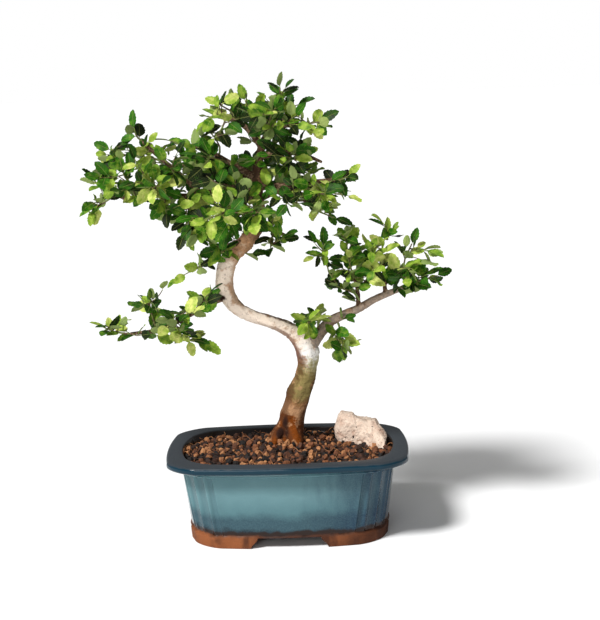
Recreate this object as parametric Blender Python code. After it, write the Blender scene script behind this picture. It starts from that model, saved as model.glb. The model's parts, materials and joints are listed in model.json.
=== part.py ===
"""Chinese elm bonsai in a glazed rectangular pot.

Metres, +Z up, +X to the right in the front view and +Y away from the viewer. The pieces are made about the
pot's own centre, with the feet at height 0, and an empty then carries them so that the whole object's
bounding box is centred over the origin.
"""

import math
import random

import bmesh
import bpy
from mathutils import Matrix, Vector
from mathutils.bvhtree import BVHTree
from mathutils.geometry import convex_hull_2d

MM = 0.001
GAP = 0.35 * MM

# Pot: plan at the rim, heights, walls and feet
RIM_HALF_LENGTH = 102.5 * MM
RIM_HALF_WIDTH = 77.8 * MM
POT_HEIGHT = 73.0 * MM
LONG_SIDE_BOW = 5.0 * MM
SHORT_SIDE_BOW = 3.0 * MM
CORNER_CUT_LENGTH = 28.0 * MM
CORNER_CUT_WIDTH = 25.0 * MM
CORNER_ROUNDNESS = 1.5
PANEL_STEPS = 2
CORNER_STEPS = 8
END_STEPS = 1
CORNER_FLUTES = 4
RIDGE = 0.9 * MM
WALL = 6.0 * MM
BODY_BASE_INSET = 18.0 * MM
BODY_TOP_INSET = 11.5 * MM
PANEL_TOP = 61.5 * MM
LIP_HEIGHT = 6.5 * MM
LIP_WIDTH = 12.0 * MM
LIP_ROUND = 2.6 * MM
MOULDING_HEIGHT = 2.0 * MM
MOULDING_PROUD = 3.5 * MM
FOOT_HEIGHT = 9.2 * MM
FOOT_PROUD = 1.2 * MM
FOOT_DEPTH = 14.0 * MM
FOOT_CHAMFER = 0.8 * MM
UNDERSIDE = 10.6 * MM
FLOOR = 17.0 * MM
FOOT_GAP_LENGTH = 64.0 * MM
FOOT_GAP_WIDTH = 46.0 * MM
FOOT_CURVE = 6.0 * MM
DRAIN_RADIUS = 7.0 * MM
DRAIN_OFFSET = 38.0 * MM
DRAIN_SIDES = 12

# Soil
SOIL_LEVEL = 66.0 * MM
MOUND_HEIGHT = 8.0 * MM
MOUND_SPREAD = 34.0 * MM
GRANULE_PITCH = 7.8 * MM
GRANULE_RELIEF = 2.0 * MM
GRANULE_JOG = 0.22
SOIL_SEED = 400
SCREEN_SIZE = 26.0 * MM
SCREEN_THICKNESS = 0.9 * MM
SCREEN_BAR = 2.3 * MM
SCREEN_OPENINGS = 3

# Rock: corners of its tall left block and of its lower right one, in mm with heights above the soil
ROCK_LEFT = (
    (42, 30, 0), (46, 22, 0), (60, 17, 0), (67, 30, 0), (58, 42, 0), (44, 42, 0),
    (40, 30, 12), (44, 20.5, 13), (61, 15.5, 13), (41, 41, 12), (62, 42, 13),
    (44.5, 25, 26.5), (47.5, 21, 28.5), (56, 20, 27.5), (61, 22, 23.5), (58, 35, 25), (47, 35, 27.5),
)
ROCK_RIGHT = (
    (60, 17, 0), (74, 5, 0), (81.5, -2.5, 0), (84.5, 8, 0), (83, 22, 0), (70, 38, 0), (60, 38, 0),
    (83.5, 0.5, 5), (86.5, 13, 8.5), (86, 22, 8.5), (84, 24, 12), (62.5, 19, 21.5), (71, 17.5, 19.5),
    (76, 20, 21.5), (77, 31, 20.5), (64, 34, 22), (78.5, 22, 17.5), (80, 32, 14),
)

# Tree
TRUNK_SIDES = 10
LIMB_SIDES = 5
STOUT_LIMB_SIDES = 8
STOUT_LIMB = 5.0 * MM
ROOT_SIDES = 6
TRUNK_STEP = 10.0 * MM
LIMB_STEP = 17.0 * MM
BARK_RELIEF = 0.07

# Leafy sprays
TWIG_SIDES = 3
TWIG_RADIUS = 0.85 * MM
TWIG_STEPS = 3
TWIG_SQUARE = 1.2 * MM
TWIG_WANDER = 2.5 * MM
TIP_SHORT = 2.0 * MM
LEAFY_LENGTH = 20.0 * MM
LEAF_LENGTH = 16.5 * MM
LEAF_HALF_WIDTH = 4.7 * MM
LEAF_THICKNESS = 0.7 * MM
LEAF_FOLD = 0.32
LEAF_CLEARANCE = 0.6 * MM
LEAF_TRIES = 14
LEAF_SPREAD = (0.9, 1.15)
TIP_LEAF_SPREAD = (0.0, 0.3)
LEAF_LIFT = (-0.25, 0.35)
LEAF_SIZES = (0.82, 1.08)
LEAF_FACES = Vector((0.0, -0.5, 0.85))
SPRAY_SEED = 400
# One half of a leaf's toothed edge, from base to tip: share of its length, share of its half width.
LEAF_EDGE = ((0.17, 0.55), (0.44, 1.0), (0.51, 0.84), (0.76, 0.62))

# Trunk centreline in mm from the pot's centre, with the radius, from the buried base to the top.
TRUNK = (
    (1, 18, 50, 10.5), (1, 18, 70, 11.5), (2, 18, 80, 11.3), (4, 17, 90, 10.6), (7, 16, 102, 9.9),
    (11, 15, 114, 9.4), (16, 14, 126, 8.6), (19, 12, 139, 7.5), (19, 11, 150, 9.0), (15, 10, 160, 8.4),
    (7, 9, 169, 6.5), (-6, 8, 176, 5.4), (-22, 6, 182, 5.1), (-36, 4, 189, 5.4), (-45, 2, 199, 6.2),
    (-49, 0, 212, 7.2), (-47, 0, 226, 7.2), (-41, 1, 237, 6.9), (-31, 3, 246, 6.6), (-23, 5, 255, 6.0),
    (-17, 7, 268, 5.2), (-19, 8, 285, 4.7), (-18, 9, 305, 4.1), (-15, 9, 322, 3.4), (-8, 9, 337, 2.7),
    (-2, 8, 350, 2.1), (2, 7, 362, 1.5),
)

# Limb centrelines, in the same way. Each starts inside the piece that it grows from.
LIMBS = {
    "left": ((-19, 8, 286, 3.6), (-46, 3, 293, 3.2), (-74, -4, 287, 2.8), (-101, -8, 291, 2.3),
             (-126, -4, 287, 1.8), (-143, 0, 295, 1.3)),
    "left_back": ((-19, 8, 298, 2.8), (-44, 24, 305, 2.2), (-68, 40, 308, 1.8), (-88, 50, 311, 1.3)),
    "left_up": ((-66, -3, 290, 2.4), (-82, -5, 306, 2.0), (-100, -5, 322, 1.6), (-112, -4, 334, 1.2)),
    "left_mid": ((-18, 9, 300, 2.6), (-38, 4, 312, 2.2), (-58, 2, 324, 1.8), (-74, 0, 329, 1.2)),
    "right_up": ((-15, 9, 318, 2.6), (4, 2, 321, 2.1), (22, 2, 318, 1.7), (36, 0, 312, 1.2)),
    "right": ((-17, 8, 293, 3.2), (5, 4, 293, 2.7), (27, -4, 296, 2.1), (47, -8, 298, 1.4)),
    "right_back": ((-19, 8, 281, 2.8), (-2, 28, 287, 2.2), (17, 46, 284, 1.4)),
    "front": ((-19, 7, 278, 2.8), (-26, -14, 286, 2.2), (-32, -34, 283, 1.8), (-38, -48, 281, 1.3)),
    "back": ((-18, 9, 306, 2.6), (-21, 32, 311, 2.0), (-26, 54, 306, 1.3)),
    "crown_left": ((-14, 9, 325, 2.6), (-25, 4, 341, 2.2), (-37, 0, 349, 1.8), (-50, -3, 352, 1.2)),
    "crown_right": ((-9, 9, 335, 2.3), (7, 6, 343, 1.9), (22, 2, 344, 1.2)),
    "lower_left": ((-46, 1, 203, 3.4), (-63, -4, 197, 2.9), (-82, -8, 187, 2.4), (-104, -10, 177, 1.9),
                   (-129, -8, 174, 1.3)),
    "right_branch": ((19, 11, 152, 6.2), (28, 9, 165, 5.2), (36, 7, 174, 4.4), (44, 5, 180, 3.9),
                     (54, 4, 184, 3.6), (65, 2, 189, 3.3), (75, 0, 195, 3.0), (86, -2, 200, 2.7),
                     (97, -3, 204, 2.2), (106, -3, 208, 1.5)),
    "spur_a": ((86, -2, 200, 1.9), (85, -2, 216, 1.6), (84, -1, 230, 1.2)),
    "spur_b": ((63, 2, 188, 2.0), (63, 0, 202, 1.7), (60, -4, 215, 1.2)),
    "left_low": ((-28, 4, 249, 2.8), (-44, -6, 245, 2.2), (-61, -12, 234, 1.8), (-70, -15, 228, 1.2)),
    "right_low": ((-19, 6, 262, 2.4), (-6, 0, 256, 1.9), (5, -5, 252, 1.2)),
}

# Surface roots: bearing in degrees from +X, reach and greatest radius in mm.
ROOTS = ((172, 19, 4.6), (218, 21, 5.2), (295, 19, 7.0), (346, 13, 4.4), (70, 18, 4.4), (125, 19, 4.6))
# Each root's run: share of its reach, height in mm, share of its radius.
ROOT_RUN = ((0.2, 92, 0.7), (0.5, 80, 1.0), (0.8, 72, 0.85), (1.0, 63, 0.5), (1.02, 55, 0.2))

# Leafy sprays: limb, share of its length, centre of the leaves in mm, number of leaves.
SPRAYS = (
    ("trunk", 1.0, (3, 5, 376), 5), ("crown_left", 0.35, (-26, -6, 366), 3),
    ("crown_left", 0.7, (-48, 4, 363), 3), ("crown_left", 1.0, (-58, -3, 350), 4),
    ("crown_left", 0.85, (-52, -10, 334), 3), ("crown_right", 0.5, (17, 10, 361), 3),
    ("crown_right", 1.0, (37, -2, 346), 4), ("trunk", 0.93, (-4, -26, 354), 3),
    ("trunk", 0.94, (-14, 34, 357), 3), ("left", 0.8, (-128, -14, 309), 3),
    ("right_up", 0.6, (18, 6, 331), 3), ("right_up", 0.5, (15, -18, 314), 3),
    ("right", 1.0, (59, -8, 301), 4), ("right", 0.85, (57, -14, 284), 3),
    ("right", 0.65, (38, -24, 286), 3), ("right", 0.5, (46, -8, 265), 3),
    ("right", 0.25, (15, -26, 280), 3), ("right_back", 0.5, (24, 50, 302), 3),
    ("right_back", 1.0, (36, 62, 278), 3), ("right_low", 0.6, (-9, -18, 243), 3),
    ("left", 1.0, (-155, 0, 303), 4), ("left", 0.95, (-156, -6, 279), 3),
    ("left", 0.65, (-104, -28, 298), 3), ("left", 0.6, (-94, -14, 274), 3),
    ("left", 0.45, (-80, -16, 256), 3), ("left", 0.3, (-57, -30, 266), 3),
    ("left_up", 1.0, (-119, -4, 345), 4), ("left_up", 0.85, (-141, 4, 327), 3),
    ("left_up", 0.4, (-92, -22, 318), 3), ("left_mid", 1.0, (-90, 0, 334), 3),
    ("left_mid", 0.6, (-60, 2, 345), 3), ("left_mid", 0.45, (-56, -22, 320), 3),
    ("left_back", 0.5, (-68, 60, 298), 3), ("left_back", 1.0, (-102, 60, 313), 4),
    ("front", 0.55, (-46, -50, 298), 3), ("front", 1.0, (-47, -66, 276), 4),
    ("front", 0.75, (-20, -54, 276), 3), ("back", 0.6, (-46, 66, 297), 3),
    ("back", 1.0, (-18, 80, 299), 3), ("left_low", 0.45, (-49, -20, 240), 3),
    ("lower_left", 0.25, (-61, -15, 208), 3), ("lower_left", 1.0, (-149, -6, 178), 4),
    ("lower_left", 0.75, (-112, -16, 202), 3), ("lower_left", 0.45, (-90, -24, 190), 3),
    ("lower_left", 0.5, (-79, -18, 167), 3), ("right_branch", 1.0, (131, -2, 215), 4),
    ("right_branch", 0.97, (109, -4, 244), 4), ("spur_a", 1.0, (88, 0, 252), 4),
    ("spur_a", 0.5, (102, -12, 224), 3), ("spur_b", 1.0, (54, -6, 246), 4),
    ("spur_b", 0.7, (76, -12, 236), 3), ("spur_b", 0.5, (34, -4, 244), 3),
    ("right_branch", 0.35, (46, 0, 156), 4), ("right_branch", 0.2, (20, -22, 183), 4),
)

# Colours from the photo, as linear red, green and blue
GLAZE_COLOUR = (0.13, 0.25, 0.31)
SOIL_COLOUR = (0.26, 0.11, 0.04)
BARK_COLOUR = (0.38, 0.24, 0.13)
LEAF_COLOUR = (0.06, 0.20, 0.02)
ROCK_COLOUR = (0.80, 0.66, 0.58)
SCREEN_COLOUR = (0.02, 0.02, 0.02)


def clear_scene():
    """Remove every object that the file opened with."""
    for item in list(bpy.data.objects):
        bpy.data.objects.remove(item, do_unlink=True)


def make_material(name, colour, roughness):
    """A non-metallic Principled BSDF material."""
    made = bpy.data.materials.new(name)
    made.use_nodes = True
    shader = made.node_tree.nodes["Principled BSDF"]
    shader.inputs["Base Color"].default_value = (*colour, 1.0)
    shader.inputs["Roughness"].default_value = roughness
    shader.inputs["Metallic"].default_value = 0.0
    return made


def glaze_material():
    return make_material("blue_glaze", GLAZE_COLOUR, 0.18)


def soil_material():
    return make_material("clay_granules", SOIL_COLOUR, 0.95)


def bark_material():
    return make_material("elm_bark", BARK_COLOUR, 0.8)


def leaf_material():
    return make_material("elm_leaf", LEAF_COLOUR, 0.4)


def rock_material():
    return make_material("pale_rock", ROCK_COLOUR, 0.9)


def screen_material():
    return make_material("black_mesh", SCREEN_COLOUR, 0.6)


def add_object(name, points, faces, material=None):
    """A mesh object from points and faces, with its normals turned outward."""
    mesh = bpy.data.meshes.new(name)
    mesh.from_pydata([tuple(point) for point in points], [], faces)
    bm = bmesh.new()
    bm.from_mesh(mesh)
    bmesh.ops.recalc_face_normals(bm, faces=bm.faces)
    bm.to_mesh(mesh)
    bm.free()
    if material:
        mesh.materials.append(material)
    made = bpy.data.objects.new(name, mesh)
    bpy.context.scene.collection.objects.link(made)
    return made


def loft(rings):
    """Points and faces of a closed skin over rings of equal count, with a flat cap at each end.

    Its sides are split into triangles the same way on every skin, so that two nested skins stay apart.
    """
    count = len(rings[0])
    points = [point for ring in rings for point in ring]
    faces = []
    for level in range(len(rings) - 1):
        low = level * count
        for i in range(count):
            j = (i + 1) % count
            faces.append((low + i, low + j, low + count + j))
            faces.append((low + i, low + count + j, low + count + i))
    faces.append(tuple(reversed(range(count))))
    faces.append(tuple(range((len(rings) - 1) * count, len(rings) * count)))
    return points, faces


def apply_modifiers(item):
    """Turn the object's modifiers into its plain mesh."""
    graph = bpy.context.evaluated_depsgraph_get()
    mesh = bpy.data.meshes.new_from_object(item.evaluated_get(graph))
    item.modifiers.clear()
    item.data = mesh


def combine(base, others, operation):
    """One Boolean between the base and a collection of other objects, which are then removed."""
    group = bpy.data.collections.new("operands")
    bpy.context.scene.collection.children.link(group)
    for other in others:
        bpy.context.scene.collection.objects.unlink(other)
        group.objects.link(other)
    boolean = base.modifiers.new("combine", "BOOLEAN")
    boolean.operation = operation
    boolean.operand_type = "COLLECTION"
    boolean.collection = group
    boolean.solver = "EXACT"
    apply_modifiers(base)
    for other in others:
        bpy.data.objects.remove(other, do_unlink=True)
    bpy.data.collections.remove(group)
    return base


def shade_smooth(item, angle):
    """Smooth shading with edges over the angle kept sharp."""
    item.data.shade_smooth()
    item.data.set_sharp_from_angle(angle=math.radians(angle))


def pot_ring(inset, height, ridge=0.0):
    """The pot's closed plan at one level: a rectangle with bowed sides and soft canted corners."""
    length = RIM_HALF_LENGTH - inset
    width = RIM_HALF_WIDTH - inset
    end_bow = SHORT_SIDE_BOW + 0.15 * inset
    corner_x = length - end_bow - CORNER_CUT_LENGTH + SHORT_SIDE_BOW
    corner_y = width - LONG_SIDE_BOW - CORNER_CUT_WIDTH
    quarter = []
    for i in range(PANEL_STEPS):
        x = corner_x * i / PANEL_STEPS
        quarter.append((x, width - LONG_SIDE_BOW * (x / corner_x) ** 2))
    for i in range(CORNER_STEPS + 1):
        turn = 0.5 * math.pi * i / CORNER_STEPS
        across = math.sin(turn) ** (2 / CORNER_ROUNDNESS)
        along = math.cos(turn) ** (2 / CORNER_ROUNDNESS)
        proud = ridge * math.cos(4 * CORNER_FLUTES * turn)
        x = corner_x + (length - end_bow - corner_x) * across + proud * math.sin(turn)
        y = corner_y + (width - LONG_SIDE_BOW - corner_y) * along + proud * math.cos(turn)
        quarter.append((x, y))
    for i in range(1, END_STEPS + 1):
        share = 1 - i / END_STEPS
        quarter.append((length - end_bow * share**2, corner_y * share))
    turned = quarter[::-1]
    plan = [*turned]
    plan += [(-x, y) for x, y in quarter[1:]]
    plan += [(-x, -y) for x, y in turned[1:]]
    plan += [(x, -y) for x, y in quarter[1:-1]]
    return [Vector((x, y, height)) for x, y in plan]


def pot_inner_levels(clearance=0.0):
    """Insets and heights down the pot's inner wall, with the wall drawn in by the clearance."""
    levels = (
        (LIP_WIDTH + 1.0 * MM, POT_HEIGHT - 1.0 * MM),
        (LIP_WIDTH + 2.5 * MM, POT_HEIGHT - 6.0 * MM),
        (BODY_BASE_INSET + WALL, FLOOR + 4.0 * MM),
        (BODY_BASE_INSET + WALL + 3.0 * MM, FLOOR),
    )
    return [(inset + clearance, height) for inset, height in levels]


def pot_skin():
    """The pot's closed skin, from the recess under it, up the outside, over the lip and down inside."""
    foot = BODY_BASE_INSET - FOOT_PROUD
    moulding = BODY_TOP_INSET - MOULDING_PROUD
    moulding_top = PANEL_TOP + MOULDING_HEIGHT
    lip_bottom = POT_HEIGHT - LIP_HEIGHT
    groove = 0.5 * (moulding_top + lip_bottom)
    rings = [
        pot_ring(foot + FOOT_DEPTH, UNDERSIDE),
        pot_ring(foot + FOOT_DEPTH, 0.0),
        pot_ring(foot + FOOT_CHAMFER, 0.0),
        pot_ring(foot, FOOT_CHAMFER),
        pot_ring(foot, FOOT_HEIGHT),
        pot_ring(BODY_BASE_INSET, UNDERSIDE, 0.4 * RIDGE),
        pot_ring(0.9 * BODY_BASE_INSET + 0.1 * BODY_TOP_INSET, UNDERSIDE + 0.1 * PANEL_TOP, RIDGE),
        pot_ring(BODY_TOP_INSET, PANEL_TOP, RIDGE),
        pot_ring(moulding, moulding_top, 0.3 * RIDGE),
        pot_ring(moulding, groove),
        pot_ring(0.5 * moulding, lip_bottom),
        pot_ring(0.3 * LIP_ROUND, lip_bottom),
        pot_ring(0.0, lip_bottom + 0.7 * LIP_ROUND),
        pot_ring(0.0, POT_HEIGHT - LIP_ROUND),
        pot_ring(0.3 * LIP_ROUND, POT_HEIGHT - 0.3 * LIP_ROUND),
        pot_ring(LIP_ROUND, POT_HEIGHT),
        pot_ring(LIP_WIDTH, POT_HEIGHT),
    ]
    rings += [pot_ring(inset, height) for inset, height in pot_inner_levels()]
    return add_object("pot", *loft(rings), glaze_material())


def foot_gap(gap, along_y):
    """Cutter for the S-curved gap between two feet, through the whole pot along X or Y."""
    steps = 4
    half = []
    for i in range(steps + 1):
        share = i / steps
        out = 0.5 * gap - 0.5 * FOOT_CURVE * (1 - math.cos(math.pi * share))
        half.append((out, share * FOOT_HEIGHT))
    outline = [(0.5 * gap, -5.0 * MM), *half]
    outline += [(-across, height) for across, height in reversed(outline)]
    reach = 2 * RIM_HALF_LENGTH
    rings = []
    for end in (-reach, reach):
        if along_y:
            rings.append([Vector((across, end, height)) for across, height in outline])
        else:
            rings.append([Vector((end, across, height)) for across, height in outline])
    return add_object("foot_gap", *loft(rings))


def drain_cutter(side):
    """A round cutter through the pot's floor."""
    rings = []
    for height in (UNDERSIDE - 5.0 * MM, FLOOR + 5.0 * MM):
        ring = []
        for i in range(DRAIN_SIDES):
            turn = 2 * math.pi * i / DRAIN_SIDES
            x = side * DRAIN_OFFSET + DRAIN_RADIUS * math.cos(turn)
            ring.append(Vector((x, DRAIN_RADIUS * math.sin(turn), height)))
        rings.append(ring)
    return add_object("drain", *loft(rings))


def build_pot():
    """The glazed pot with its four bracket feet and two drainage holes."""
    pot = pot_skin()
    cutters = [foot_gap(FOOT_GAP_LENGTH, True), foot_gap(FOOT_GAP_WIDTH, False)]
    cutters += [drain_cutter(side) for side in (-1, 1)]
    combine(pot, cutters, "DIFFERENCE")
    shade_smooth(pot, 35)
    return pot


def build_screen(name, side):
    """A drainage screen: a square plate with rows of square openings, flat on the pot's floor."""
    opening = (SCREEN_SIZE - (SCREEN_OPENINGS + 1) * SCREEN_BAR) / SCREEN_OPENINGS
    low = FLOOR + GAP
    high = low + SCREEN_THICKNESS
    half = 0.5 * SCREEN_SIZE
    centre = side * DRAIN_OFFSET
    screen = add_object(name, *box(centre - half, centre + half, -half, half, low, high), screen_material())
    cutters = []
    for i in range(SCREEN_OPENINGS):
        for j in range(SCREEN_OPENINGS):
            x = centre - half + SCREEN_BAR + i * (opening + SCREEN_BAR)
            y = -half + SCREEN_BAR + j * (opening + SCREEN_BAR)
            corners = box(x, x + opening, y, y + opening, low - MM, high + MM)
            cutters.append(add_object("opening", *corners))
    return combine(screen, cutters, "DIFFERENCE")


def box(x0, x1, y0, y1, z0, z1):
    """Points and faces of an upright box."""
    plan = ((x0, y0), (x1, y0), (x1, y1), (x0, y1))
    return loft([[Vector((x, y, z)) for x, y in plan] for z in (z0, z1)])


def soil_height(x, y):
    """Height of the soil's smooth surface: level at the walls, mounded at the trunk."""
    away = math.hypot(x - TRUNK[1][0] * MM, y - TRUNK[1][1] * MM)
    mound = MOUND_HEIGHT * math.exp(-((away / MOUND_SPREAD) ** 2))
    return SOIL_LEVEL + mound


def rock_foot():
    """The convex outline round the places where the rock rests, as corners in turn."""
    corners = [Vector(corner[:2]) * MM for corner in ROCK_LEFT + ROCK_RIGHT if corner[2] == 0]
    return [corners[i] for i in convex_hull_2d(corners)]


def under_rock(x, y, margin):
    """Whether a place on the soil lies under the rock or within the margin of it."""
    foot = rock_foot()
    for start, end in zip(foot, foot[1:] + foot[:1]):
        along = (end - start).normalized()
        if (Vector((x, y)) - start).dot(Vector((along.y, -along.x))) > margin:
            return False
    return True


def soil_relief():
    """A block with a grained top, larger than the pot's opening, to be trimmed to it."""
    columns = math.ceil(2 * RIM_HALF_LENGTH / GRANULE_PITCH)
    rows = math.ceil(2 * RIM_HALF_WIDTH / GRANULE_PITCH)
    draw = random.Random(SOIL_SEED)
    points = []
    for j in range(rows + 1):
        for i in range(columns + 1):
            x = (i - 0.5 * columns) * GRANULE_PITCH
            y = (j - 0.5 * rows) * GRANULE_PITCH
            lift = GRANULE_RELIEF * ((i + j) % 2 - 0.5 + draw.uniform(-0.5, 0.5))
            if under_rock(x, y, 1.5 * GRANULE_PITCH):
                height = SOIL_LEVEL
            else:
                height = soil_height(x, y) + lift
            jog = GRANULE_JOG * GRANULE_PITCH
            points.append(Vector((x + draw.uniform(-jog, jog), y + draw.uniform(-jog, jog), height)))
    across = columns + 1
    faces = []
    for j in range(rows):
        for i in range(columns):
            corner = j * across + i
            faces.append((corner, corner + 1, corner + across + 1))
            faces.append((corner, corner + across + 1, corner + across))
    rim = list(range(across))
    rim += [j * across + columns for j in range(1, rows + 1)]
    rim += [rows * across + i for i in range(columns - 1, -1, -1)]
    rim += [j * across for j in range(rows - 1, 0, -1)]
    base = len(points)
    points += [Vector((points[i].x, points[i].y, 0.0)) for i in rim]
    for i in range(len(rim)):
        j = (i + 1) % len(rim)
        faces.append((rim[i], base + i, base + j, rim[j]))
    faces.append(tuple(base + i for i in range(len(rim))))
    return add_object("soil", points, faces, soil_material())


def trim_to_pot(soil):
    """Keep what lies inside the pot's inner wall, clear of it by the gap."""
    levels = pot_inner_levels(GAP)[1:]
    rings = [pot_ring(levels[0][0], POT_HEIGHT + 2 * MOUND_HEIGHT)]
    rings += [pot_ring(inset, height) for inset, height in levels[:-1]]
    rings.append(pot_ring(levels[-1][0], FLOOR + GAP))
    plug = add_object("plug", *loft(rings))
    return combine(soil, [plug], "INTERSECT")


def build_soil(pieces_in_soil):
    """The bed of granules, with a plain hole for the trunk's base and a pocket over each screen."""
    soil = trim_to_pot(soil_relief())
    pockets = []
    half = 0.5 * SCREEN_SIZE + GAP
    for side in (-1, 1):
        centre = side * DRAIN_OFFSET
        top = FLOOR + SCREEN_THICKNESS + 2 * GAP
        pockets.append(add_object("pocket", *box(centre - half, centre + half, -half, half, 0.0, top)))
    return combine(soil, [*pieces_in_soil, *pockets], "DIFFERENCE")


def rock_block(name, corners):
    """The hull of one block's corners, resting just over the soil."""
    bm = bmesh.new()
    for x, y, height in corners:
        bm.verts.new(Vector((x * MM, y * MM, SOIL_LEVEL + GAP + height * MM)))
    hull = bmesh.ops.convex_hull(bm, input=bm.verts)
    inside = [part for part in hull["geom_interior"] if isinstance(part, bmesh.types.BMVert)]
    bmesh.ops.delete(bm, geom=inside, context="VERTS")
    bmesh.ops.recalc_face_normals(bm, faces=bm.faces)
    mesh = bpy.data.meshes.new(name)
    bm.to_mesh(mesh)
    bm.free()
    mesh.materials.append(rock_material())
    block = bpy.data.objects.new(name, mesh)
    bpy.context.scene.collection.objects.link(block)
    return block


def build_rock():
    """The angular accent stone: a tall block grown together with a lower one, flat where it rests."""
    return combine(rock_block("rock", ROCK_LEFT), [rock_block("rock_right", ROCK_RIGHT)], "UNION")


def smooth_path(rows, step):
    """A smooth curve through rows of x, y, z and radius in mm, as (place, radius) about a step apart."""
    knots = [(Vector(row[:3]) * MM, row[3] * MM) for row in rows]
    knots = [knots[0], *knots, knots[-1]]
    path = [knots[1]]
    for k in range(1, len(knots) - 2):
        before, start, end, after = knots[k - 1 : k + 3]
        parts = max(1, round((end[0] - start[0]).length / step))
        for i in range(1, parts + 1):
            t = i / parts
            weights = (
                -0.5 * t + t**2 - 0.5 * t**3,
                1 - 2.5 * t**2 + 1.5 * t**3,
                0.5 * t + 2 * t**2 - 1.5 * t**3,
                -0.5 * t**2 + 0.5 * t**3,
            )
            four = (before, start, end, after)
            place = sum((w * knot[0] for w, knot in zip(weights, four)), Vector())
            path.append((place, start[1] + t * (end[1] - start[1])))
    return path


def tangents(path):
    """The direction of travel at each place of a path."""
    places = [place for place, _ in path]
    ahead = places[1:] + places[-1:]
    behind = places[:1] + places[:-1]
    return [(a - b).normalized() for a, b in zip(ahead, behind)]


def tube(path, sides, relief=0.0, clearance=0.0):
    """Points and faces of a closed tube along a path, with long ribs in its bark if asked."""
    along = tangents(path)
    side = along[0].orthogonal().normalized()
    rings = []
    for k, (place, radius) in enumerate(path):
        side = (side - along[k] * side.dot(along[k])).normalized()
        over = along[k].cross(side)
        if k == 0:
            place = place - along[k] * clearance
        if k == len(path) - 1:
            place = place + along[k] * clearance
        ring = []
        for i in range(sides):
            turn = 2 * math.pi * i / sides
            ribs = 0.6 * math.cos(3 * turn + 0.35 * k) + 0.4 * math.cos(5 * turn - 0.22 * k)
            out = radius * (1 + relief * ribs) + clearance
            ring.append(place + out * (math.cos(turn) * side + math.sin(turn) * over))
        rings.append(ring)
    return loft(rings)


def root_path(bearing, reach, radius):
    """A surface root: out of the trunk's foot, over the soil and down into it."""
    x, y = TRUNK[1][:2]
    turn = math.radians(bearing)
    rows = []
    for share, height, size in ROOT_RUN:
        out = reach * share
        rows.append((x + out * math.cos(turn), y + out * math.sin(turn), height, radius * size))
    return smooth_path(rows, LIMB_STEP)


def root_base(clearance):
    """The trunk's foot and roots as objects, thickened by a clearance to cut their holes in the soil."""
    trunk = smooth_path(TRUNK, TRUNK_STEP)
    foot = [knot for knot in trunk if knot[0].z < 110 * MM]
    made = [add_object("foot", *tube(foot, TRUNK_SIDES, BARK_RELIEF, clearance))]
    for root in ROOTS:
        made.append(add_object("root", *tube(root_path(*root), ROOT_SIDES, 0.0, clearance)))
    return made


def limb_tube(rows):
    """Points and faces of one limb, rounder where it is thick."""
    sides = STOUT_LIMB_SIDES if rows[0][3] * MM > STOUT_LIMB else LIMB_SIDES
    return tube(smooth_path(rows, LIMB_STEP), sides)


def build_wood():
    """Trunk, surface roots, limbs and branches, grown as one piece."""
    trunk = tube(smooth_path(TRUNK, TRUNK_STEP), TRUNK_SIDES, BARK_RELIEF)
    wood = add_object("tree_wood", *trunk, bark_material())
    joined = []
    for root in ROOTS:
        joined.append(add_object("root", *tube(root_path(*root), ROOT_SIDES)))
    for rows in LIMBS.values():
        joined.append(add_object("limb", *limb_tube(rows)))
    combine(wood, joined, "UNION")
    shade_smooth(wood, 60)
    return wood


def place_on(path, share):
    """Place, radius and direction at a share of a path's length."""
    lengths = [0.0]
    for (a, _), (b, _) in zip(path, path[1:]):
        lengths.append(lengths[-1] + (b - a).length)
    goal = share * lengths[-1]
    k = 0
    while k < len(path) - 2 and lengths[k + 1] < goal:
        k += 1
    t = (goal - lengths[k]) / (lengths[k + 1] - lengths[k])
    (a, start), (b, end) = path[k], path[k + 1]
    return a.lerp(b, min(t, 1.0)), start + min(t, 1.0) * (end - start), (b - a).normalized()


def twig_path(limb, share, centre, draw):
    """A spray's twig: square off the limb, then bent over to the middle of its clump of leaves."""
    rows = TRUNK if limb == "trunk" else LIMBS[limb]
    step = TRUNK_STEP if limb == "trunk" else LIMB_STEP
    root, radius, direction = place_on(smooth_path(rows, step), share)
    aim = centre - root
    if share >= 1.0:
        square = direction
        radius = 0.0
    else:
        square = (aim - direction * aim.dot(direction)).normalized()
    start = root + square * (radius + GAP)
    end = root + aim * (1 - TIP_SHORT / aim.length)
    bend = start + square * 0.45 * (end - start).length
    bend += Vector([draw.uniform(-1, 1) for _ in range(3)]) * TWIG_WANDER
    path = []
    for i in range(TWIG_STEPS + 1):
        t = i / TWIG_STEPS
        place = start * (1 - t) ** 2 + bend * 2 * t * (1 - t) + end * t**2
        path.append((place, TWIG_RADIUS * (1.15 - 0.45 * t)))
    first = start + square * TWIG_SQUARE
    return [path[0], (first, path[0][1]), *path[1:]]


def leaf_frame(base, direction, normal, length):
    """Matrix that carries a unit leaf to its place: X along the rib, Y across, Z out of its face."""
    along = direction.normalized()
    out = (normal - along * normal.dot(along)).normalized()
    across = out.cross(along)
    size = length / LEAF_LENGTH
    turned = Matrix((along, across, out)).transposed().to_4x4()
    return Matrix.Translation(base) @ turned @ Matrix.Scale(size, 4)


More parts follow.
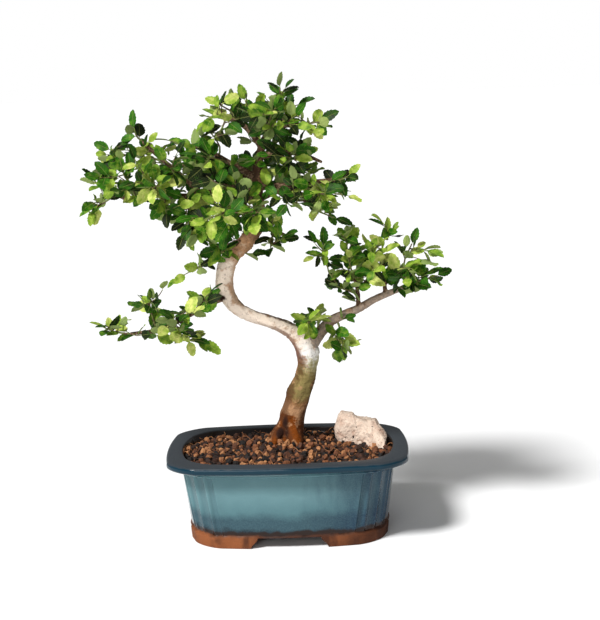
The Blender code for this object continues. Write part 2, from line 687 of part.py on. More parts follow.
def leaf_skin(frame, swell=0.0, start=0.0):
    """Points and triangles of one folded, toothed leaf, alike on both faces, swollen all round if asked."""
    size = frame.to_scale().x
    half = (0.5 * LEAF_THICKNESS + swell) / size
    edge = [(share * LEAF_LENGTH, part * (LEAF_HALF_WIDTH + swell)) for share, part in LEAF_EDGE]
    outline = [(start * LEAF_LENGTH, 0.0), *edge, (LEAF_LENGTH + swell, 0.0)]
    outline += [(x, -y) for x, y in reversed(edge)]
    points = []
    for side in (half, -half):
        for x, y in outline:
            points.append(frame @ Vector((x, y, side + LEAF_FOLD * abs(y))))
    count = len(outline)
    tip = len(edge) + 1
    flat = [(0, i, i + 1) for i in range(1, tip)]
    flat += [(0, i, i + 1) for i in range(tip, count - 1)]
    faces = [(c, b, a) for a, b, c in flat]
    faces += [(a + count, b + count, c + count) for a, b, c in flat]
    for i in range(count):
        j = (i + 1) % count
        faces.append((i, j, j + count))
        faces.append((i, j + count, i + count))
    return points, faces


def clear_of(tree, others):
    """Whether a search tree crosses none of the others."""
    return not any(tree.overlap(other) for other in others)


def spray_leaves(twig, leaves, draw, own, others):
    """Frames of the leaves of one spray: alternate, in two ranks, each bent clear of all that is near."""
    frames = []
    whole = sum((b - a).length for (a, _), (b, _) in zip(twig, twig[1:]))
    first = max(0.25, 1 - LEAFY_LENGTH / whole)
    for k in range(leaves):
        share = first + (1 - first) * k / (leaves - 1)
        place, _, along = place_on(twig, share)
        last = k == leaves - 1
        for attempt in range(LEAF_TRIES):
            spread = draw.uniform(*(TIP_LEAF_SPREAD if last else LEAF_SPREAD))
            wild = 0.35 + 0.09 * attempt
            sky = LEAF_FACES + Vector([draw.gauss(0, wild) for _ in range(3)])
            flat = (sky - along * sky.dot(along)).normalized()
            side = flat.cross(along) * (1 if k % 2 else -1)
            direction = along * math.cos(spread) + side * math.sin(spread) + flat * draw.uniform(*LEAF_LIFT)
            length = LEAF_LENGTH * draw.uniform(*LEAF_SIZES)
            frame = leaf_frame(place, direction, sky, length)
            test = BVHTree.FromPolygons(*leaf_skin(frame, LEAF_CLEARANCE, 0.12))
            near = [tree for centre, tree in others if (centre - place).length < 3 * LEAF_LENGTH]
            if clear_of(test, near) and clear_of(test, own):
                frames.append(frame)
                own.append(test)
                break
    return frames


def build_spray(name, twig, frames, material):
    """One leafy shoot: its twig with each leaf's base sunk in it."""
    spray = add_object(name, *tube(twig, TWIG_SIDES), material)
    leaves = [add_object("leaf", *leaf_skin(frame)) for frame in frames]
    combine(spray, leaves, "UNION")
    return spray


def wood_trees():
    """Search trees of the trunk, the roots and every limb."""
    tubes = [tube(smooth_path(TRUNK, TRUNK_STEP), TRUNK_SIDES, BARK_RELIEF)]
    tubes += [tube(root_path(*root), ROOT_SIDES) for root in ROOTS]
    tubes += [limb_tube(rows) for rows in LIMBS.values()]
    return [BVHTree.FromPolygons(*made) for made in tubes]


def twig_tree(twig):
    """Search tree of a twig, a little thicker than it is."""
    return BVHTree.FromPolygons(*tube(twig, TWIG_SIDES, 0.0, GAP))


def lay_twigs(fixed, draws):
    """The twig of every spray with its search tree, bent clear of the wood and of the twigs before it."""
    twigs = []
    for (limb, share, centre, _), draw in zip(SPRAYS, draws):
        for _ in range(LEAF_TRIES):
            twig = twig_path(limb, share, Vector(centre) * MM, draw)
            test = twig_tree(twig)
            if clear_of(test, [tree for _, tree in twigs]) and clear_of(twig_tree(twig[1:]), fixed):
                break
        twigs.append((twig, test))
    return twigs


def build_sprays():
    """Every leafy spray, each clear of the wood and of the sprays before it."""
    material = leaf_material()
    fixed = wood_trees()
    draws = [random.Random(SPRAY_SEED + number) for number in range(len(SPRAYS))]
    twigs = lay_twigs(fixed, draws)
    sprays = []
    placed = []
    for number, (twig, _) in enumerate(twigs):
        near = [(Vector(SPRAYS[k][2]) * MM, tree) for k, (_, tree) in enumerate(twigs) if k != number]
        near += [(Vector(SPRAYS[number][2]) * MM, tree) for tree in fixed]
        own = []
        frames = spray_leaves(twig, SPRAYS[number][3], draws[number], own, near + placed)
        placed += [(frame.translation.copy(), tree) for frame, tree in zip(frames, own)]
        sprays.append(build_spray(f"spray_{number + 1:02d}", twig, frames, material))
    return sprays


def centre_on_origin(pieces):
    """Carry the pieces on an empty that puts the middle of their bounding box over the origin."""
    corners = [vertex.co for piece in pieces for vertex in piece.data.vertices]
    middle_x = 0.5 * (min(c.x for c in corners) + max(c.x for c in corners))
    middle_y = 0.5 * (min(c.y for c in corners) + max(c.y for c in corners))
    carrier = bpy.data.objects.new("bonsai", None)
    bpy.context.scene.collection.objects.link(carrier)
    carrier.location = (-middle_x, -middle_y, 0.0)
    for piece in pieces:
        piece.parent = carrier
    return carrier


def main():
    """Build every piece and centre the whole."""
    clear_scene()
    pot = build_pot()
    screens = [build_screen("screen_left", -1), build_screen("screen_right", 1)]
    wood = build_wood()
    rock = build_rock()
    soil = build_soil(root_base(GAP))
    sprays = build_sprays()
    centre_on_origin([pot, soil, wood, rock, *screens, *sprays])


if __name__ == "__main__":
    main()
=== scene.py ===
"""Looks of a chinese elm bonsai in its glazed pot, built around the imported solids.

Metres, +Z up, +X to the right in the front view and +Y away from the viewer. Shapes are worked out about the
pot's own centre, with its feet at height 0, and are then carried to where the pot stands in the frame.
"""

import json
import logging
import math
import random
from collections.abc import Callable, Iterable, Sequence
from dataclasses import dataclass, field
from enum import Enum
from functools import reduce
from itertools import product
from typing import Any

import bmesh
import bpy
import numpy as np
from mathutils import Matrix, Vector, noise
from mathutils.bvhtree import BVHTree
from mathutils.geometry import convex_hull_2d
from mathutils.kdtree import KDTree

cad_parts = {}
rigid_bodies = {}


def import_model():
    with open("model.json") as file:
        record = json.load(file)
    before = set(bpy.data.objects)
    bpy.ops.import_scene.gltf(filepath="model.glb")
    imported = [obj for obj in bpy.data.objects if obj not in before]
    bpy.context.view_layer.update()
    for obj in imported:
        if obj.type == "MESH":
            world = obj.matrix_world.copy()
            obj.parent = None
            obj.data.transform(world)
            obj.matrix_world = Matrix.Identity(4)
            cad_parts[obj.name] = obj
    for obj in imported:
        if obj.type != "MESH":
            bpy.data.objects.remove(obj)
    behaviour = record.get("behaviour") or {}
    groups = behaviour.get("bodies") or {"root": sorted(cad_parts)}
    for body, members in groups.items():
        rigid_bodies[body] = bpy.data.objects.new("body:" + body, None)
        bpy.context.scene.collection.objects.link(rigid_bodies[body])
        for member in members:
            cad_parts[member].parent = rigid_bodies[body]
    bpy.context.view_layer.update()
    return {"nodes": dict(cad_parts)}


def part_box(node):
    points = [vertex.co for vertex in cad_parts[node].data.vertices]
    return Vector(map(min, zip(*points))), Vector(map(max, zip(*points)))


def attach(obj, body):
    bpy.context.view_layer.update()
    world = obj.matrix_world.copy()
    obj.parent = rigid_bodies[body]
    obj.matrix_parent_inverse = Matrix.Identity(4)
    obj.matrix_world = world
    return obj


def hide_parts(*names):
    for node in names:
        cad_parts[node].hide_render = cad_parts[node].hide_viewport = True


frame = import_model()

LOG = logging.getLogger("bonsai")

MM = 0.001
Knot = tuple[Vector, float]
Path = list[Knot]
Skin = tuple[list[Vector], list[tuple[int, ...]]]
Rows = tuple[tuple[float, ...], ...]
Pair = tuple[float, float]
Colour = tuple[float, float, float]
Knots = list[tuple[Vector, Vector, float, float, float]]
Mesh = bpy.types.Mesh
Object = bpy.types.Object
Material = bpy.types.Material
Socket = bpy.types.NodeSocket

# Trunk centreline in mm from the pot's centre, with the radius, from the buried base to the top.
TRUNK: Rows = (
    (1, 18, 50, 10.5), (1, 18, 70, 11.5), (2, 18, 80, 11.3), (4, 17, 90, 10.6), (7, 16, 102, 9.9),
    (11, 15, 114, 9.4), (16, 14, 126, 8.6), (19, 12, 139, 7.5), (19, 11, 150, 9.0), (15, 10, 160, 8.4),
    (7, 9, 169, 6.5), (-6, 8, 176, 5.4), (-22, 6, 182, 5.1), (-36, 4, 189, 5.4), (-45, 2, 199, 6.2),
    (-49, 0, 212, 7.2), (-47, 0, 226, 7.2), (-41, 1, 237, 6.9), (-31, 3, 246, 6.6), (-23, 5, 255, 6.0),
    (-17, 7, 268, 5.2), (-19, 8, 285, 4.7), (-18, 9, 305, 4.1), (-15, 9, 322, 3.4), (-8, 9, 337, 2.7),
    (-2, 8, 350, 2.1), (2, 7, 362, 1.5),
)

# Limb centrelines, in the same way. Each starts inside the piece that it grows from.
LIMBS: dict[str, Rows] = {
    "left": ((-19, 8, 286, 3.6), (-46, 3, 293, 3.2), (-74, -4, 287, 2.8), (-101, -8, 291, 2.3),
             (-126, -4, 287, 1.8), (-143, 0, 295, 1.3)),
    "left_back": ((-19, 8, 298, 2.8), (-44, 24, 305, 2.2), (-68, 40, 308, 1.8), (-88, 50, 311, 1.3)),
    "left_up": ((-66, -3, 290, 2.4), (-82, -5, 306, 2.0), (-100, -5, 322, 1.6), (-112, -4, 334, 1.2)),
    "left_mid": ((-18, 9, 300, 2.6), (-38, 4, 312, 2.2), (-58, 2, 324, 1.8), (-74, 0, 329, 1.2)),
    "right_up": ((-15, 9, 318, 2.6), (4, 2, 321, 2.1), (22, 2, 318, 1.7), (36, 0, 312, 1.2)),
    "right": ((-17, 8, 293, 3.2), (5, 4, 293, 2.7), (27, -4, 296, 2.1), (47, -8, 298, 1.4)),
    "right_back": ((-19, 8, 281, 2.8), (-2, 28, 287, 2.2), (17, 46, 284, 1.4)),
    "front": ((-19, 7, 278, 2.8), (-26, -14, 286, 2.2), (-32, -34, 283, 1.8), (-38, -48, 281, 1.3)),
    "back": ((-18, 9, 306, 2.6), (-21, 32, 311, 2.0), (-26, 54, 306, 1.3)),
    "crown_left": ((-14, 9, 325, 2.6), (-25, 4, 341, 2.2), (-37, 0, 349, 1.8), (-50, -3, 352, 1.2)),
    "crown_right": ((-9, 9, 335, 2.3), (7, 6, 343, 1.9), (22, 2, 344, 1.2)),
    "lower_left": ((-46, 1, 203, 3.4), (-63, -4, 197, 2.9), (-82, -8, 187, 2.4), (-104, -10, 177, 1.9),
                   (-129, -8, 174, 1.3)),
    "right_branch": ((19, 11, 152, 6.2), (28, 9, 165, 5.2), (36, 7, 174, 4.4), (44, 5, 180, 3.9),
                     (54, 4, 184, 3.6), (65, 2, 189, 3.3), (75, 0, 195, 3.0), (86, -2, 200, 2.7),
                     (97, -3, 204, 2.2), (106, -3, 208, 1.5)),
    "spur_a": ((86, -2, 200, 1.9), (85, -2, 216, 1.6), (84, -1, 230, 1.2)),
    "spur_b": ((63, 2, 188, 2.0), (63, 0, 202, 1.7), (60, -4, 215, 1.2)),
    "left_low": ((-28, 4, 249, 2.8), (-44, -6, 245, 2.2), (-61, -12, 234, 1.8), (-70, -15, 228, 1.2)),
    "right_low": ((-19, 6, 262, 2.4), (-6, 0, 256, 1.9), (5, -5, 252, 1.2)),
}

# Surface roots: bearing in degrees from +X, reach and greatest radius in mm.
ROOTS: Rows = (
    (172, 19, 4.6), (218, 21, 5.2), (295, 19, 7.0), (346, 13, 4.4), (70, 18, 4.4), (125, 19, 4.6),
)
# Each root's run: share of its reach, height in mm, share of its radius.
ROOT_RUN: Rows = ((0.2, 92, 0.7), (0.5, 80, 1.0), (0.8, 72, 0.85), (1.0, 63, 0.5), (1.02, 55, 0.2))

# Scars, front hollows and one swelling of the wood: middle, reach and depth in mm, and how far each is squashed in
# height. A depth below 0 swells.
SCARS: Rows = (
    (-51, -6, 201, 4.2, 1.4, 1.0), (-3, 5.5, 90.5, 6.0, 0.8, 0.5), (-5, 3.5, 82.5, 8.5, 1.0, 0.8),
    (2.5, 10, 118, 12.0, -3.0, 0.8),
)

# Leafy sprays: limb, share of its length, centre of the leaves in mm, number of the solid's leaves.
SPRAYS: tuple[tuple[str, float, tuple[float, float, float], int], ...] = (
    ("trunk", 1.0, (3, 5, 376), 5), ("crown_left", 0.35, (-26, -6, 366), 3),
    ("crown_left", 0.7, (-48, 4, 363), 3), ("crown_left", 1.0, (-58, -3, 350), 4),
    ("crown_left", 0.85, (-52, -10, 334), 3), ("crown_right", 0.5, (17, 10, 361), 3),
    ("crown_right", 1.0, (37, -2, 346), 4), ("trunk", 0.93, (-4, -26, 354), 3),
    ("trunk", 0.94, (-14, 34, 357), 3), ("left", 0.8, (-128, -14, 309), 3),
    ("right_up", 0.6, (18, 6, 331), 3), ("right_up", 0.5, (15, -18, 314), 3),
    ("right", 1.0, (59, -8, 301), 4), ("right", 0.85, (57, -14, 284), 3),
    ("right", 0.65, (38, -24, 286), 3), ("right", 0.5, (46, -8, 265), 3),
    ("right", 0.25, (15, -26, 280), 3), ("right_back", 0.5, (24, 50, 302), 3),
    ("right_back", 1.0, (36, 62, 278), 3), ("right_low", 0.6, (-9, -18, 243), 3),
    ("left", 1.0, (-155, 0, 303), 4), ("left", 0.95, (-156, -6, 279), 3),
    ("left", 0.65, (-104, -28, 298), 3), ("left", 0.6, (-94, -14, 274), 3),
    ("left", 0.45, (-80, -16, 256), 3), ("left", 0.3, (-57, -30, 266), 3),
    ("left_up", 1.0, (-119, -4, 345), 4), ("left_up", 0.85, (-141, 4, 327), 3),
    ("left_up", 0.4, (-92, -22, 318), 3), ("left_mid", 1.0, (-90, 0, 334), 3),
    ("left_mid", 0.6, (-60, 2, 345), 3), ("left_mid", 0.45, (-56, -22, 320), 3),
    ("left_back", 0.5, (-68, 60, 298), 3), ("left_back", 1.0, (-102, 60, 313), 4),
    ("front", 0.55, (-46, -50, 298), 3), ("front", 1.0, (-47, -66, 276), 4),
    ("front", 0.75, (-20, -54, 276), 3), ("back", 0.6, (-46, 66, 297), 3),
    ("back", 1.0, (-18, 80, 299), 3), ("left_low", 0.45, (-49, -20, 240), 3),
    ("lower_left", 0.25, (-61, -15, 208), 3), ("lower_left", 1.0, (-149, -6, 178), 4),
    ("lower_left", 0.75, (-112, -16, 202), 3), ("lower_left", 0.45, (-90, -24, 190), 3),
    ("lower_left", 0.5, (-79, -18, 167), 3), ("right_branch", 1.0, (131, -2, 215), 4),
    ("right_branch", 0.97, (109, -4, 244), 4), ("spur_a", 1.0, (88, 0, 252), 4),
    ("spur_a", 0.5, (102, -12, 224), 3), ("spur_b", 1.0, (54, -6, 246), 4),
    ("spur_b", 0.7, (76, -12, 236), 3), ("spur_b", 0.5, (34, -4, 244), 3),
    ("right_branch", 0.35, (46, 0, 156), 4), ("right_branch", 0.2, (20, -22, 183), 4),
)

# Leafy shoots between the sprays: middle of the leaves in mm, and the seed of their lie.
SHOOTS: Rows = (
    (1, -26, 344, 26), (-12, 16, 324, 74), (-76, 3, 329, 9), (-114, -2, 321, 22), (3, -18, 309, 8),
    (-67, 29, 311, 56), (-31, -8, 314, 18), (-81, 44, 296, 33), (-27, 61, 296, 49), (-89, -21, 299, 73),
    (3, 27, 295, 29), (-137, -8, 298, 65), (-59, 0, 297, 88), (-114, -17, 295, 3), (-71, -17, 285, 18),
    (-32, -32, 270, 88), (-52, -14, 259, 90), (65, 4, 219, 0), (105, 4, 214, 54), (58, 3, 206, 54),
    (-101, -5, 177, 1), (-9, -6, 268, 90), (-65, -1, 198, 65), (82, -14, 231, 37), (-29, -5, 351, 53),
    (-16, -6, 295, 60), (10, 14, 342, 68), (17, 49, 296, 59), (-38, -45, 285, 6), (-142, 3, 311, 46),
    (44, -18, 300, 28), (123, -15, 238, 37), (-74, -38, 266, 72), (104, -7, 210, 92), (46, 3, 225, 7),
    (-76, -14, 256, 18), (33, 51, 275, 3), (-5, -5, 327, 87), (28, -4, 185, 0), (-14, -2, 345, 12),
    (50, -8, 156, 42), (-155, -16, 276, 63), (-65, -28, 235, 26), (-19, -3, 276, 56), (-84, -9, 310, 57),
    (-33, 57, 300, 68), (11, -9, 286, 47), (-2, -7, 250, 90), (-117, -15, 316, 87), (18, -34, 184, 46),
    (44, -9, 210, 3), (-127, -5, 327, 1), (-26, -45, 266, 34), (19, 0, 324, 43), (-105, -3, 171, 44),
    (-66, -12, 166, 94), (53, -10, 240, 94), (-109, -25, 206, 92), (-121, -8, 289, 17), (-90, -8, 218, 23),
    (43, -8, 170, 36), (-51, -70, 288, 93), (34, -18, 243, 1), (-41, -58, 265, 56), (15, 10, 352, 24),
    (-99, -6, 279, 95), (-67, -17, 194, 70), (-12, 9, 367, 30), (-88, -5, 182, 51), (73, -14, 217, 96),
    (-43, -7, 366, 91), (-99, -39, 308, 83), (5, -17, 253, 91), (-11, 43, 312, 94), (-166, 8, 281, 16),
    (-135, 2, 174, 71), (-58, 47, 301, 76), (-62, -8, 325, 4), (-77, -9, 287, 4), (54, -17, 253, 61),
    (-45, -28, 244, 91), (-59, -10, 250, 3), (-76, -7, 320, 90), (-148, -10, 308, 88), (65, -11, 207, 49),
    (103, -11, 242, 49), (-24, -21, 288, 71), (-35, -6, 337, 30), (-105, 0, 335, 95), (-58, -5, 205, 23),
    (-143, -15, 289, 41), (-146, 11, 323, 66), (47, -11, 226, 73), (23, -26, 297, 29), (26, -5, 247, 7),
    (84, -5, 241, 87), (-84, -10, 293, 15), (17, -2, 353, 63), (-22, -2, 237, 77), (-5, -16, 287, 4),
    (-38, -26, 290, 77), (124, -8, 236, 68), (50, 9, 154, 66), (-82, -20, 173, 52), (-26, 13, 358, 95),
    (-115, -25, 300, 87), (18, -7, 344, 14), (97, -3, 218, 43), (85, -12, 263, 52), (1, -5, 361, 75),
    (-136, -10, 309, 87), (-161, -16, 287, 90), (-6, -17, 271, 16), (-66, 48, 291, 89), (-117, 3, 322, 32),
    (-80, -19, 290, 62), (-60, -72, 272, 12), (9, -32, 279, 75), (44, -8, 277, 60), (47, -3, 302, 8),
    (28, 50, 307, 58), (-10, 71, 300, 98), (-96, -27, 215, 74), (-146, -24, 180, 44), (-27, 16, 337, 66),
    (-127, -5, 332, 19), (83, 4, 228, 36), (102, -11, 208, 35), (-31, 3, 264, 70), (25, 7, 185, 43),
    (-76, -23, 193, 14), (-64, -10, 166, 27), (-50, -24, 241, 44), (-122, -5, 298, 55), (-98, -25, 289, 52),
    (-12, -64, 276, 93), (45, -5, 171, 91), (116, -15, 231, 89), (59, -15, 208, 51), (-63, -21, 167, 38),
    (-65, -28, 253, 11), (42, 55, 262, 91), (69, 7, 239, 78), (-33, 9, 356, 33), (-94, -10, 187, 88),
    (27, 50, 284, 22), (-74, -28, 270, 94), (17, -9, 176, 4), (-104, -18, 181, 71), (-23, 27, 317, 78),
    (-83, -33, 174, 52), (-41, -3, 339, 14), (-103, -5, 288, 55), (-156, -18, 285, 11), (-88, 8, 328, 98),
    (-38, -10, 339, 52), (-94, 45, 305, 77), (16, -21, 300, 71), (-155, -12, 184, 18), (26, -3, 323, 4),
    (-37, 11, 308, 38), (25, -15, 235, 20), (-135, -16, 294, 39), (104, -22, 212, 79), (38, 3, 341, 57),
    (-46, 6, 365, 86), (-38, -5, 353, 63), (-17, 12, 352, 37), (-20, -65, 267, 99), (88, 0, 215, 90),
    (122, -10, 218, 80), (-71, -3, 324, 32), (-118, -31, 303, 72), (-30, -29, 286, 89), (1, -17, 349, 26),
    (-135, -16, 184, 10), (16, -6, 323, 60), (-109, -16, 208, 77), (52, 5, 152, 15), (108, -2, 208, 4),
    (-72, 3, 293, 87), (-140, 11, 321, 69), (-72, -25, 199, 20), (-62, -10, 338, 9), (34, 3, 215, 1),
    (-49, -4, 282, 53), (-58, 19, 304, 99), (66, -11, 212, 29), (-159, 9, 279, 79), (26, 6, 282, 94),
    (-31, -52, 287, 66), (4, 4, 249, 45), (109, -11, 221, 2), (-4, 14, 331, 66), (-13, 20, 363, 64),
    (8, -1, 376, 65), (11, 2, 323, 83), (-69, 6, 288, 17), (-40, 11, 251, 78), (13, 8, 323, 46),
    (80, 6, 224, 54), (-104, -23, 182, 50), (-143, 1, 320, 52), (-93, -5, 271, 29), (-89, -31, 182, 31),
    (-65, -13, 327, 24), (-27, 33, 311, 56), (-26, -19, 313, 32), (16, 16, 350, 30), (-59, -6, 234, 43),
    (115, 0, 214, 87), (29, 13, 177, 22), (-152, 8, 304, 86), (-57, -42, 277, 83), (-44, -1, 249, 57),
    (55, -20, 220, 37), (9, -3, 342, 4), (13, -8, 342, 44), (-3, 11, 367, 65), (-111, -21, 288, 19),
    (-129, -22, 323, 65), (-103, -3, 188, 99), (55, -10, 181, 99), (-107, -16, 332, 34), (125, 5, 212, 31),
    (85, -6, 243, 60), (45, 12, 151, 15), (-50, 6, 333, 84), (-70, -35, 258, 18), (-117, -22, 174, 79),
    (50, -12, 159, 39), (8, 20, 305, 6), (-11, 16, 295, 87), (-54, -28, 250, 44), (114, -16, 210, 17),
    (57, -9, 242, 5), (-16, 2, 261, 78), (58, 4, 215, 5), (-88, 61, 301, 88), (-15, -6, 363, 72),
    (-13, -45, 267, 55), (-18, -3, 317, 1), (5, -18, 254, 19), (54, -8, 224, 63), (55, 2, 216, 77),
    (63, 1, 249, 73), (-80, -19, 282, 70), (-90, -11, 174, 11), (18, -5, 327, 45), (-88, 57, 313, 58),
    (6, 28, 368, 78), (-25, -30, 354, 51), (-24, -19, 362, 83), (-47, 25, 367, 35), (-33, 23, 366, 39),
    (-43, 21, 350, 7), (-56, 10, 328, 49), (-67, -24, 323, 2), (2, 35, 351, 46), (33, -22, 340, 63),
    (39, 24, 345, 74), (-12, -51, 354, 53), (1, -44, 359, 90), (-11, 48, 340, 53), (-9, 58, 346, 56),
    (-26, 53, 357, 39), (-116, -39, 323, 88), (-129, -30, 295, 58), (1, 31, 335, 41), (15, -17, 323, 31),
    (-10, -28, 321, 68), (11, -36, 302, 8), (49, 13, 293, 9), (57, 15, 296, 27), (43, 9, 297, 76),
    (38, -46, 292, 66), (36, -33, 281, 82), (49, -30, 255, 15), (34, 10, 280, 57), (20, -4, 280, 36),
    (20, -37, 289, 87), (23, 74, 291, 92), (27, 41, 299, 49), (4, 69, 296, 83), (40, 38, 274, 53),
    (26, 73, 273, 90), (40, 36, 287, 25), (-11, 5, 245, 80), (-146, 19, 300, 6), (-148, -25, 306, 8),
    (-150, 18, 290, 72), (-93, -45, 300, 66), (-104, -4, 308, 90), (-81, 11, 263, 56), (-93, -1, 278, 9),
    (-70, 6, 269, 76), (-62, -27, 270, 20), (-53, -50, 265, 16), (-72, -46, 274, 95), (-150, 29, 316, 98),
    (-128, 13, 328, 96), (-93, -7, 313, 97), (-84, -34, 307, 21), (-92, 17, 327, 81), (-81, -21, 327, 61),
    (-54, -24, 351, 14), (-62, -35, 311, 5), (-61, -37, 308, 18), (-68, 71, 301, 26), (-57, 34, 290, 28),
    (-60, 69, 297, 15), (-107, 51, 307, 18), (-114, 77, 307, 8), (-120, 35, 318, 66), (-50, -36, 296, 69),
    (-35, -38, 303, 94), (-42, -80, 274, 59), (-43, -41, 264, 75), (-15, -29, 281, 5), (-24, -79, 278, 95),
    (-50, 50, 291, 87), (-39, 50, 281, 46), (-44, 77, 288, 16), (-10, 54, 302, 8), (-12, 58, 310, 32),
    (-36, 69, 298, 45), (-48, 4, 238, 89), (-46, -41, 244, 91), (-62, -31, 199, 42), (-52, 7, 206, 25),
    (-147, -26, 185, 52), (-138, 19, 181, 35), (-115, -32, 203, 51), (-115, 6, 201, 20), (-96, -38, 182, 35),
    (-71, -47, 197, 41), (-81, -39, 181, 54), (-77, -4, 174, 5), (123, 21, 210, 41), (97, 10, 253, 40),
    (83, -24, 248, 1), (109, -31, 224, 61), (102, -37, 217, 18), (61, -20, 237, 92), (59, 18, 248, 2),
    (74, -35, 245, 18), (76, -32, 224, 40), (30, 11, 245, 58), (35, -19, 242, 25), (57, 24, 149, 26),
    (49, -19, 155, 52), (19, -44, 187, 9), (17, -1, 182, 69),
)


class Slot(Enum):
    """The record's material slots that the pieces made here belong to."""

    GLAZE = "blue_glaze"
    GRANULES = "clay_granules"
    BARK = "elm_bark"
    LEAF = "elm_leaf"
    ROCK = "pale_rock"


def seen(red: float, green: float, blue: float) -> Colour:
    """The linear colour of one as a screen shows it, from 0 to 255."""
    parts = (part / 255 for part in (red, green, blue))
    return tuple(part / 12.92 if part <= 0.04045 else ((part + 0.055) / 1.055) ** 2.4 for part in parts)


def mesh_of(name: str, points: Iterable[Vector], faces: Iterable[Sequence[int]],
            edges: Iterable[tuple[int, int]] = ()) -> Mesh:
    """A plain mesh.

    Args:
        name: Its name.
        points: Corner places.
        faces: Corner numbers of each face.
        edges: Corner numbers of each loose edge.

    Returns:
        The mesh.
    """
    mesh = bpy.data.meshes.new(name)
    mesh.from_pydata([tuple(point) for point in points], list(edges), list(faces))
    return mesh


def turned_out(mesh: Mesh) -> Mesh:
    """Turn a mesh's faces outward.

    Args:
        mesh: Mesh that is changed.

    Returns:
        The same mesh.
    """
    bm = bmesh.new()
    bm.from_mesh(mesh)
    bmesh.ops.recalc_face_normals(bm, faces=bm.faces)
    bm.to_mesh(mesh)
    bm.free()
    return mesh


def shown(name: str, data: Any) -> Object:
    """A new object of the scene, for a mesh, a light or a camera.

    Args:
        name: Its name.
        data: The mesh, light or camera.

    Returns:
        The linked object.
    """
    made = bpy.data.objects.new(name, data)
    bpy.context.scene.collection.objects.link(made)
    return made


def dress(mesh: Mesh, material: Material) -> None:
    """Give a whole mesh one finish."""
    mesh.materials.clear()
    mesh.materials.append(material)


def new_object(name: str, points: Iterable[Vector], faces: Iterable[Sequence[int]]) -> Object:
    """A mesh object with its faces turned outward."""
    return shown(name, turned_out(mesh_of(name, points, faces)))


def settle(item: Object) -> Object:
    """Turn an object's modifiers into its plain mesh.

    Args:
        item: Object whose modifiers are carried out.

    Returns:
        The same object, with no modifier left.
    """
    graph = bpy.context.evaluated_depsgraph_get()
    mesh = bpy.data.meshes.new_from_object(item.evaluated_get(graph), depsgraph=graph)
    item.modifiers.clear()
    item.data = mesh
    return item


def fused(item: Object, voxel: float, rounds: int) -> Object:
    """Fuse the crossing bodies of an object into one skin, and soften it.

    Args:
        item: Object that holds the bodies.
        voxel: Size of the skin's faces.
        rounds: Rounds of smoothing.

    Returns:
        The same object.
    """
    skin = item.modifiers.new("skin", "REMESH")
    skin.mode = "VOXEL"
    skin.voxel_size = voxel
    item.modifiers.new("soften", "SMOOTH").iterations = rounds
    return settle(item)


def group_of(name: str, items: Iterable[Object]) -> bpy.types.Collection:
    """A collection of forms for a growth tree to pick from.

    Args:
        name: Name of the collection.
        items: Its forms.

    Returns:
        The collection.
    """
    group = bpy.data.collections.new(name)
    for item in items:
        group.objects.link(item)
    return group


def discard(*groups: bpy.types.Collection) -> None:
    """Take away collections with the forms that they hold.

    Args:
        *groups: The collections.
    """
    for group in groups:
        for item in list(group.objects):
            bpy.data.objects.remove(item, do_unlink=True)
        bpy.data.collections.remove(group)


def finder_of(places: Sequence[Vector]) -> KDTree:
    """A finder of the nearest among places.

    Args:
        places: The places, which it numbers in their order.

    Returns:
        The finder.
    """
    finder = KDTree(len(places))
    for number, place in enumerate(places):
        finder.insert(place, number)
    finder.balance()
    return finder


def wander(draw: random.Random, reach: float) -> Vector:
    """A drawn offset of up to a reach along each axis."""
    return Vector([draw.uniform(-1, 1) for _ in range(3)]) * reach


def write_values(item: Object, name: str, values: Sequence[float]) -> None:
    """Keep one number for each point of a mesh, for its finish to read.

    Args:
        item: Mesh object.
        name: Name of the attribute.
        values: One number a point.
    """
    attribute = item.data.attributes.new(name, "FLOAT", "POINT")
    attribute.data.foreach_set("value", np.asarray(values, np.float32))


def loft(rings: Sequence[Sequence[Vector]]) -> Skin:
    """A closed skin over rings of equal count, with a flat cap at each end.

    Args:
        rings: Rings of places, from one end to the other.

    Returns:
        Points and faces.
    """
    count = len(rings[0])
    points = [point for ring in rings for point in ring]
    faces: list[tuple[int, ...]] = []
    for level in range(len(rings) - 1):
        low = level * count
        for i in range(count):
            j = (i + 1) % count
            faces.append((low + i, low + j, low + count + j))
            faces.append((low + i, low + count + j, low + count + i))
    faces.append(tuple(reversed(range(count))))
    faces.append(tuple(range((len(rings) - 1) * count, len(rings) * count)))
    return points, faces


def smooth_path(rows: Rows, step: float) -> Path:
    """A smooth curve through rows of x, y, z and radius in mm.

    Args:
        rows: The rows that it passes through.
        step: Distance between its places, about.

    Returns:
        Places and radii along it.
    """
    knots = [(Vector(row[:3]) * MM, row[3] * MM) for row in rows]
    knots = [knots[0], *knots, knots[-1]]
    path = [knots[1]]
    for k in range(1, len(knots) - 2):
        before, start, end, after = knots[k - 1 : k + 3]
        parts = max(1, round((end[0] - start[0]).length / step))
        for i in range(1, parts + 1):
            t = i / parts
            weights = (
                -0.5 * t + t**2 - 0.5 * t**3,
                1 - 2.5 * t**2 + 1.5 * t**3,
                0.5 * t + 2 * t**2 - 1.5 * t**3,
                -0.5 * t**2 + 0.5 * t**3,
            )
            four = (before, start, end, after)
            place = sum((w * knot[0] for w, knot in zip(weights, four)), Vector())
            path.append((place, start[1] + t * (end[1] - start[1])))
    return path


def tangents(path: Path) -> list[Vector]:
    """The direction of travel at each place of a path.

    Args:
        path: Places and radii.

    Returns:
        The directions, of length 1.
    """
    places = [place for place, _ in path]
    ahead = places[1:] + places[-1:]
    behind = places[:1] + places[:-1]
    return [(a - b).normalized() for a, b in zip(ahead, behind)]


